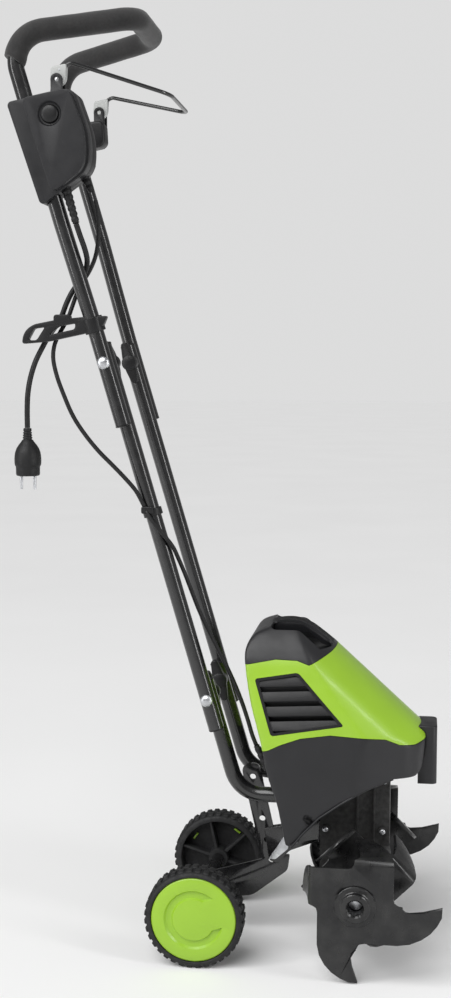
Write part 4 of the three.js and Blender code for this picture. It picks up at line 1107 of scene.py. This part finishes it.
def pivot_ear(y0, y1, foot):
    ear = slab([(PIVOT_X - 8, foot), (PIVOT_X + 8, foot), (PIVOT_X + 8, PIVOT_Z + 8),
                (PIVOT_X - 8, PIVOT_Z + 8)],
               "XZ", y0, y1, corners=[0, 0, 7.9, 7.9], rim=0.6)
    return drilled(ear, pin(PIVOT_X, PIVOT_Z, y0 - 2, y1 + 2, 3.4))


def relief_axis(z):
    return at(-160.6 - 0.288 * (z - 1030), -FLARED_Y - 5, z)


def switch_box():
    """Two halves clamped round the handle tube, the outer one with a raised, broadly bevelled cover."""
    relief_way = bar(relief_axis(1084), relief_axis(1030), 7.8, 6)
    gland_way = bar(at(-158, -108, 1106), at(-142, -108, 1072), 6.4)
    base = slab(BOX_LINE, "XZ", -BOX_SPLIT + 0.15, -BOX_INNER, corners=BOX_ROUNDS, corner_steps=8)
    round_off(base, rim_at(base, 1, -BOX_INNER), 4, 4)
    base = joined(base, pivot_ear(-120, -116, 1196))
    base = drilled(base, tube_way(RIGHT), relief_way, gland_way)
    place(base, "switch_box_clamp", BLACK, "upper_handle", ("switch_box_base",), edge=0.5)

    relief_way = bar(relief_axis(1084), relief_axis(1030), 7.8, 6)
    shoulder = slab(BOX_LINE, "XZ", -BOX_SHOULDER, -BOX_SPLIT - 0.15, corners=BOX_ROUNDS, corner_steps=8)
    round_off(shoulder, rim_at(shoulder, 1, -BOX_SHOULDER), 3, 4)
    cover = slab(COVER_LINE, "XZ", -BOX_FACE, -BOX_SPLIT - 4, corners=COVER_ROUNDS, corner_steps=8)
    round_off(cover, rim_at(cover, 1, -BOX_FACE), 6.5, 6)
    dish = bar(at(BUTTON_X, -152, BUTTON_Z), at(BUTTON_X, -147.2, BUTTON_Z), 17.5, 14.6, sides=48)
    bore = pin(BUTTON_X, BUTTON_Z, -153, -139.8, 12.5, sides=48)
    well = pin(BUTTON_X, BUTTON_Z, -142.8, -131, 15, sides=48)
    cover = joined(shoulder, cover, pivot_ear(-138, -134, 1196))
    cover = drilled(cover, dish, bore, well, tube_way(RIGHT), relief_way)
    place(cover, "switch_box_front", DARK, "upper_handle", ("switch_box_cover",), edge=0.45)


def lock_off():
    cap = turned([(0, 11.9), (6, 11.6), (10, 10.9), (11.4, 10), (12, 8.8), (12, -0.2), (14.4, -0.2),
                  (14.4, -2.2), (0, -2.2)], at(BUTTON_X, -140, BUTTON_Z), -ACROSS, 56)
    place(cap, "lock_off_cap", BLACK, "lock_off", ("lock_off_button",), sharp=40)


def bail():
    def half(side):
        return [(-180, side * BAIL_Y, 1228), (-168, side * BAIL_Y, 1243), (-40, side * 72, 1207)]
    path = bent_path(half(RIGHT) + half(LEFT)[::-1], [12, 25, 25, 12], 6)
    place(tube_mesh(path, BAIL_R, 6), "bail_wire", COAT, "bail", ("bail_lever",), sharp=45)
    for name, side in SIDES.items():
        x, z = PIVOT_X, PIVOT_Z
        cheek = slab([(x - 10.5, z - 4), (x - 8.5, z + 17.5), (x + 12.5, z + 21), (x + 11, z - 2),
                      (x + 2, z - 9.5)],
                     "XZ", *span(side, 121.2, 132.8), corners=[6, 3, 3, 5, 6], rim=1.0)
        boss = pin(x, z, *span(side, 117.2, 136.8), 3.0)
        wire_way = tube_mesh(path, BAIL_R + 0.2, 4)
        clip = drilled(joined(cheek, boss), wire_way)
        place(clip, f"bail_end_{name}", PALE, "bail", (f"bail_clip_{name}",), edge=0.4)
        rivets = []
        for dx, dz, radius in ((3, 13, 1.7), (0, 0, 2.6)):
            face = at(x + dx, side * (132.6 if dx else 136.6), z + dz)
            rivets.append(turned([(0, 1.0), (radius * 0.7, 0.75), (radius, 0), (radius, -0.6), (0, -0.6)],
                                 face, ACROSS * side, 20))
        place(gathered(*rivets), f"bail_end_rivets_{name}", ZINC, "bail", (f"bail_clip_{name}",))


def left_pivot_housing():
    body = slab([(-247, 1200), (-174, 1206), (-172, 1168), (-236, 1156)], "XZ", 106, 136, corners=9, rim=3.5,
                corner_steps=6)
    body = joined(body, pivot_ear(116, 120, 1196), pivot_ear(134, 138, 1196))
    place(drilled(body, tube_way(LEFT)), "left_pivot_block", BLACK, "upper_handle", ("bail_housing_left",),
          edge=0.4)


def strain_reliefs():
    """Tapered, ribbed sleeves where the leads leave the box and where one enters the housing."""
    for name, node, start, end, big, small, ribs, body in (
        ("mains_relief_sleeve", "mains_strain_relief", relief_axis(1082), relief_axis(1030), 6.9, 4.9, 7,
         "upper_handle"),
        ("motor_lead_relief", "motor_lead_gland", at(-157, -108, 1104), at(-143, -108, 1074), 6.0, 4.6, 4,
         "upper_handle"),
        ("housing_relief", "housing_lead_gland", at(97, -70, 268), at(80, -70, 302), 6.0, 4.6, 4, "chassis"),
    ):
        axis, length = (end - start).normalized(), (end - start).length / MM
        bore = (CORD_R if "mains" in name else LEAD_R) + 0.3
        profile = [(bore, 0), (big, 0)]
        for rib in range(ribs):
            share, pitch = rib / ribs, length / ribs
            radius = big + (small - big) * share
            along = pitch * rib
            profile += [(radius, along + pitch * 0.15), (radius, along + pitch * 0.55),
                        (radius - 0.9, along + pitch * 0.68), (radius - 0.95, along + pitch * 0.95)]
        profile += [(small, length - 0.8), (small - 0.5, length), (bore, length), (bore, 0)]
        sleeve = turned(profile, start, axis, 32)
        place(sleeve, name, SHEATH, body, (node,), sharp=50)


def cord_hook():
    """A flat moulded hook clamped round the right-hand tube, with two slots for loops of lead."""
    plate = slab([(-241, 868), (-239, 882), (-228, 894), (-192, 901), (-150, 905), (-121, 906), (-127, 891),
                  (-152, 882), (-205, 871)], "XZ", -118, -106, corners=[4, 6, 8, 6, 6, 3, 6, 6, 4], rim=1.2)
    slots = [slab([(-233, 873), (-224, 889), (-208, 891), (-220, 873)], "XZ", -120, -104, corners=3),
             slab([(-203, 880), (-190, 892), (-165, 896), (-166, 888)], "XZ", -120, -104, corners=3)]
    lip = slab([(-196, 896), (-172, 896), (-172, 908), (-196, 908)], "XZ", -118, -108, corners=[0, 0, 4, 4],
               rim=1)
    collar = bar(at(*handle_point(RIGHT, 106.6, 884)), at(*handle_point(RIGHT, 108.5, 904)), TUBE_R + 3.4,
                 rim=1)
    hook = joined(drilled(plate, *slots), lip, collar)
    tube = tube_mesh(upper_handle_path(), TUBE_R + 0.3, 6)
    place(drilled(hook, tube), "lead_hook", BLACK, "upper_handle", ("cord_hook",), edge=0.5)


def lead_clip():
    ends = [at(*handle_point(RIGHT, MIDDLE_Y, z)) for z in (629, 639)]
    ring = bar(*ends, TUBE_R + 2.6, rim=1)
    lug = slab([(-79, 633), (-62, 633), (-62, 643), (-79, 643)], "XZ", -99, -84, corners=2.5, rim=1)
    tube = bar(at(*handle_point(RIGHT, MIDDLE_Y, 600)), at(*handle_point(RIGHT, MIDDLE_Y, 670)), TUBE_R + 0.3)
    lead = tube_mesh([at(-79, -95.5, 653), at(-73.2, -95.2, 640), at(-66, -98.3, 627)], LEAD_R + 0.5, 4)
    place(drilled(joined(ring, lug), tube, lead), "lead_clip", BLACK, "middle_handle", ("cable_clip",),
          edge=0.4)


switch_box()
lock_off()
bail()
left_pivot_housing()
strain_reliefs()
cord_hook()
lead_clip()

# ---- Wheels and their carrier -----------------------------------------------------------------------

TREAD_BLOCKS = 36
COVER_R, RECESS_R, ISLAND_R, COVER_BAR, COVER_TILT, RECESS_DEPTH = 60, 42, 29, 41, radians(18), 3.5


def on_axle(block, angle):
    """Work made about the origin, turned and then lifted to the wheel's middle."""
    swung(block, angle, at(0, 0, 0))
    bmesh.ops.translate(block, verts=block.verts, vec=(0, 0, WHEEL_R * MM))
    return block


def tread_row(side, near, far, turn):
    """One row of tread blocks, tapered like moulded rubber, standing on the rim."""
    pitch = 2 * pi / TREAD_BLOCKS
    blocks = []
    for i in range(TREAD_BLOCKS):
        angle = -pi / 2 + pitch * (i + turn)
        corners = [(WHEEL_R - 5, -0.40), (WHEEL_R, -0.30), (WHEEL_R, 0.30), (WHEEL_R - 5, 0.40)]
        corners = [(r * cos(angle + o * pitch), WHEEL_R + r * sin(angle + o * pitch)) for r, o in corners]
        blocks.append(slab(corners, "XZ", *span(side, near, far), corners=[0, 1.2, 1.2, 0], rim=0.7,
                           corner_steps=2, rim_steps=1))
    return blocks


def wheel(name, side):
    inner, outer = WHEEL_Y - WHEEL_WIDTH / 2, WHEEL_Y + WHEEL_WIDTH / 2
    r = WHEEL_R
    profile = [(6.3, inner), (14.5, inner), (15.2, inner + 1), (15.6, inner + 22), (57.5, inner + 22.4),
               (58, inner + 1.2), (59, inner), (r - 7, inner), (r - 4.0, inner + 1.4), (r - 2.3, inner + 4),
               (r - 2.3, outer - 4), (r - 4.0, outer - 1.4), (r - 7, outer), (61.4, outer),
               (60.6, outer - 0.8), (60.5, outer - 6.5), (6.3, outer - 6.5), (6.3, inner)]
    body = turned([(radius, along - WHEEL_Y) for radius, along in profile], at(0, side * WHEEL_Y, r),
                  ACROSS * side, 88)
    spokes = []
    for i in range(6):
        spoke = slab([(10, -2.4), (59, -1.7), (59, 1.7), (10, 2.4)], "XZ", *span(side, inner + 3, inner + 23),
                     rim=0.8)
        spokes.append(on_axle(spoke, pi / 3 * i + 0.3))
    rows = tread_row(side, inner + 2.6, WHEEL_Y - 1.2, 0) + tread_row(side, WHEEL_Y + 1.2, outer - 2.6, 0.5)
    body = gathered(joined(body, *spokes), *rows)
    place(body, f"tyre_{name}", TYRE, f"wheel_{name}_body", (f"wheel_{name}",), sharp=38)


def wheel_cover(name, side):
    """A snap-in disc: its ring and the slanted bar across it stand proud of a C-shaped recess."""
    face, r = WHEEL_Y + WHEEL_WIDTH / 2 - 0.5, WHEEL_R
    centre = at(0, 0, r)
    disc = turned([(0, face - 5.4), (COVER_R - 0.6, face - 5.4), (COVER_R, face - 4.8), (COVER_R, face - 2.2),
                   (COVER_R - 0.9, face - 0.8), (COVER_R - 2.8, face), (0, face)], centre, ACROSS * side, 96)
    recess = turned([(0, face - RECESS_DEPTH), (RECESS_R - 2.6, face - RECESS_DEPTH), (RECESS_R, face + 0.2),
                     (RECESS_R, face + 4), (0, face + 4)], centre, ACROSS * side, 72)
    island = turned([(0, face - 9), (ISLAND_R + 2, face - 9), (ISLAND_R + 2, face - RECESS_DEPTH),
                     (ISLAND_R, face + 0.2), (ISLAND_R, face + 8), (0, face + 8)], centre, ACROSS * side,
                     56)
    half, length = COVER_BAR / 2, RECESS_R + 8
    section = [(half + 2, face - 9), (half + 2, face - RECESS_DEPTH), (half, face + 0.2), (half, face + 8),
               (-half, face + 8), (-half, face + 0.2), (-half - 2, face - RECESS_DEPTH),
               (-half - 2, face - 9)]
    strap = on_axle(slab([(side * y, z) for z, y in section], "YZ", 0, length), -COVER_TILT)
    recess = drilled(recess, island, strap)
    bore = pin(0, r, *span(side, face - 8, face - 3.4), 8)
    place(drilled(disc, recess, bore), f"hub_cap_{name}", GREEN, f"wheel_{name}_body",
          (f"wheel_cover_{name}",), edge=0.7, sharp=38)


def snap_tabs(name, side):
    """The cover's four snap hooks, seen as green tabs through the wheel's back."""
    face, tabs = WHEEL_Y + WHEEL_WIDTH / 2 - 6, []
    for i in range(4):
        tab = slab([(46, -5.5), (49, -5.5), (49, 5.5), (46, 5.5)], "XZ",
                   *span(side, face - 9.5, face + 0.8), rim=0.5)
        tabs.append(on_axle(tab, pi / 2 * i + 0.62))
    place(gathered(*tabs), f"hub_cap_tabs_{name}", GREEN, f"wheel_{name}_body", (f"wheel_cover_{name}",))


def gusset():
    """The small bright gusset plate on the outside of the height guide."""
    plate = slab([(119, 159), (121, 134), (102, 117), (92, 117)], "XZ", -14.4, -12.6, corners=2, rim=0.4)
    place(plate, "height_guide_gusset", ZINC, "chassis", ("guide_bolt",))


for name, side in SIDES.items():
    wheel(name, side)
    wheel_cover(name, side)
    snap_tabs(name, side)
gusset()

# ---- Tines ------------------------------------------------------------------------------------------

PLATE_T, OUTER_STAR_Y, INNER_STAR_Y, SHAFT_HOLE_R = 4.0, 176, 94, 10.4
# One blade, pointing along +X: its cutting edge, its swept back, and the gullet before the next blade.
CUTTING_EDGE = [(63, 2), (64.5, -2), (67.5, -4.4), (72, -5), (90, -2.6), (115.8, 5)]
BLADE_BACK = [(115.4, -8), (109.5, -20), (101, -31), (89, -40.5), (74, -47.5), (57, -50.5), (12, -51),
              (6, -52.6), (3, -57)]
FULL_BEND = {"starts": (56, 59, 62, 65), "each": radians(19.5)}
SLIGHT_BEND = {"starts": (48, 52), "each": radians(7.5)}
STAR_CENTRE = (TINE_X, TINE_R)
TIP_DOWN = -radians(1)
# The sleeves the stars are welded to: radius, and distance out from the machine's middle.
OUTER_HUB = [(0, 150), (14.4, 150), (15, 150.6), (15, 172), (20, 174), (27.2, 174), (28, 174.8),
             (28, 180.2), (27.2, 181), (21.4, 181), (20, 182.4), (20, 186.8), (18.8, 188), (12.6, 188),
             (10.4, 185.8), (0, 185.8)]
INNER_HUB = [(0, 36), (14.4, 36), (15, 36.6), (15, 89), (24, 90.5), (24, 97.5), (15, 99), (15, 146.4),
             (14.4, 147), (0, 147)]


def blade_frame(turn):
    """The blade's own direction and the crease line across it."""
    return Vector((cos(turn), 0, sin(turn))), Vector((-sin(turn), 0, cos(turn)))


def star_outline(phase):
    line = []
    for k in range(4):
        turn = phase - k * pi / 2
        for x, z in CUTTING_EDGE + BLADE_BACK:
            line.append((STAR_CENTRE[0] + x * cos(turn) - z * sin(turn),
                         STAR_CENTRE[1] + x * sin(turn) + z * cos(turn)))
    return line


def on_cutting_edge(off, along, up):
    """Whether a place, taken from the star's centre in the outer face, lies on a blade's edge."""
    return abs(off.y) < 1e-6 and off.dot(along) > 71 * MM and -6 * MM < off.dot(up) < 6 * MM


def grind(plate, phase, y):
    """The cutting edges are ground to a bevel on the outer face only."""
    centre, ground = at(STAR_CENTRE[0], y, STAR_CENTRE[1]), []
    for k in range(4):
        along, up = blade_frame(phase - k * pi / 2)
        for edge in plate.edges:
            offs = [vert.co - centre for vert in edge.verts]
            on_line = all(on_cutting_edge(off, along, up) for off in offs)
            if on_line and abs((offs[1] - offs[0]).dot(along)) > 1e-4:
                ground.append(edge)
    round_off(plate, ground, 3.0, 1)


def fold_blade(plate, turn, y, side_of_fold, bend):
    """Creases one blade in steps, as a press does, its tip going towards the given side."""
    along, crease = blade_frame(turn)
    centre = at(STAR_CENTRE[0], y, STAR_CENTRE[1])
    for start in bend["starts"]:
        bmesh.ops.bisect_plane(plate, geom=[*plate.verts, *plate.edges, *plate.faces], dist=1e-7,
                               plane_co=centre + along * start * MM, plane_no=along)
    beyond = [[v for v in plate.verts if (v.co - centre).dot(along) > start * MM + 1e-6]
              for start in bend["starts"]]
    for start, verts in reversed(list(zip(bend["starts"], beyond))):
        bmesh.ops.rotate(plate, verts=verts, cent=centre + along * start * MM,
                         matrix=Matrix.Rotation(side_of_fold * bend["each"], 3, crease))


def star(name, side, y, phase, bends, hub):
    """Four blades on a sleeve. A bend goes outwards (1) or inwards (-1), blade by blade."""
    plate = slab(star_outline(phase), "XZ", side * y - PLATE_T / 2, side * y + PLATE_T / 2)
    grind(plate, phase, side * (y + PLATE_T / 2))
    for blade, (towards, bend) in bends.items():
        fold_blade(plate, phase + blade * pi / 2, side * y, -side * towards, bend)
    sleeve = turned(hub, at(STAR_CENTRE[0], 0, STAR_CENTRE[1]), ACROSS * side, 56)
    bore = pin(*STAR_CENTRE, *span(side, 20, 230), SHAFT_HOLE_R, sides=40)
    place(drilled(joined(plate, sleeve), bore), name, STEEL, "tine_rotor",
          (name.replace("blades", "star"),), edge=0.5, sharp=30)


for name, side in SIDES.items():
    star(f"tine_blades_outer_{name}", side, OUTER_STAR_Y, TIP_DOWN,
         {1: (1, FULL_BEND), 2: (1, FULL_BEND), 3: (1, SLIGHT_BEND)}, OUTER_HUB)
    star(f"tine_blades_inner_{name}", side, INNER_STAR_Y, TIP_DOWN + pi / 4,
         {0: (1, FULL_BEND), 1: (-1, FULL_BEND), 2: (1, FULL_BEND), 3: (-1, FULL_BEND)}, INNER_HUB)

# ---- Drive, frame and fastenings --------------------------------------------------------------------


def screw_head(x, y, z, side, radius=4.2):
    """A pan head with a cross recess, facing sideways."""
    profile = [(0, 2.6), (radius * 0.55, 2.4), (radius * 0.9, 1.5), (radius, 0.3), (radius, -0.4), (0, -0.4)]
    head = turned(profile, at(x, side * y, z), ACROSS * side, 28)
    arms = [slab(rectangle(x - a, x + a, z - b, z + b), "XZ", *span(side, y + 1, y + 4))
            for a, b in ((radius * 0.5, 0.55), (0.55, radius * 0.5))]
    return drilled(head, *arms)


def gearbox_screws(name, side):
    """The screws that clamp the two halves of the gear case, in bosses round its rim."""
    places = [(176, 246), (176, 172), (260, 246), (258, 172)]
    bosses = [pin(x, z, *span(side, 14, 33.4), 6.4, rim=0.8) for x, z in places]
    heads = [screw_head(x, 33.2, z, side) for x, z in places]
    place(gathered(*bosses), f"gear_case_bosses_{name}", CAST, "chassis", (f"gearbox_{name}",))
    place(gathered(*heads), f"gear_case_screws_{name}", ZINC, "chassis", (f"gearbox_{name}",))


FINISHED = {
    "gearbox_right": (CAST, 1.6), "gearbox_left": (CAST, 1.6), "motor_stator": (CAST, 0.8),
    "motor_rotor": (COPPER, 0.4), "cooling_fan": (BLACK, 0.3), "worm_wheel": (BRONZE, 0.3),
    "tine_shaft": (ZINC, 0.8), "shaft_bearing_right": (ZINC, 0.5), "shaft_bearing_left": (ZINC, 0.5),
    "wheel_carrier": (COAT, 0.9), "wheel_axle": (ZINC, 0.8), "height_guide": (COAT, 0.7),
    "guide_bolt": (ZINC, 0.6), "lock_off_spring": (ZINC, 0.0), "micro_switch": (BLACK, 0.4),
}
for node, (material, edge) in FINISHED.items():
    finished_copy(node, material, frame["nodes"][node]["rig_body"], edge, sharp=50)
for name, side in SIDES.items():
    gearbox_screws(name, side)
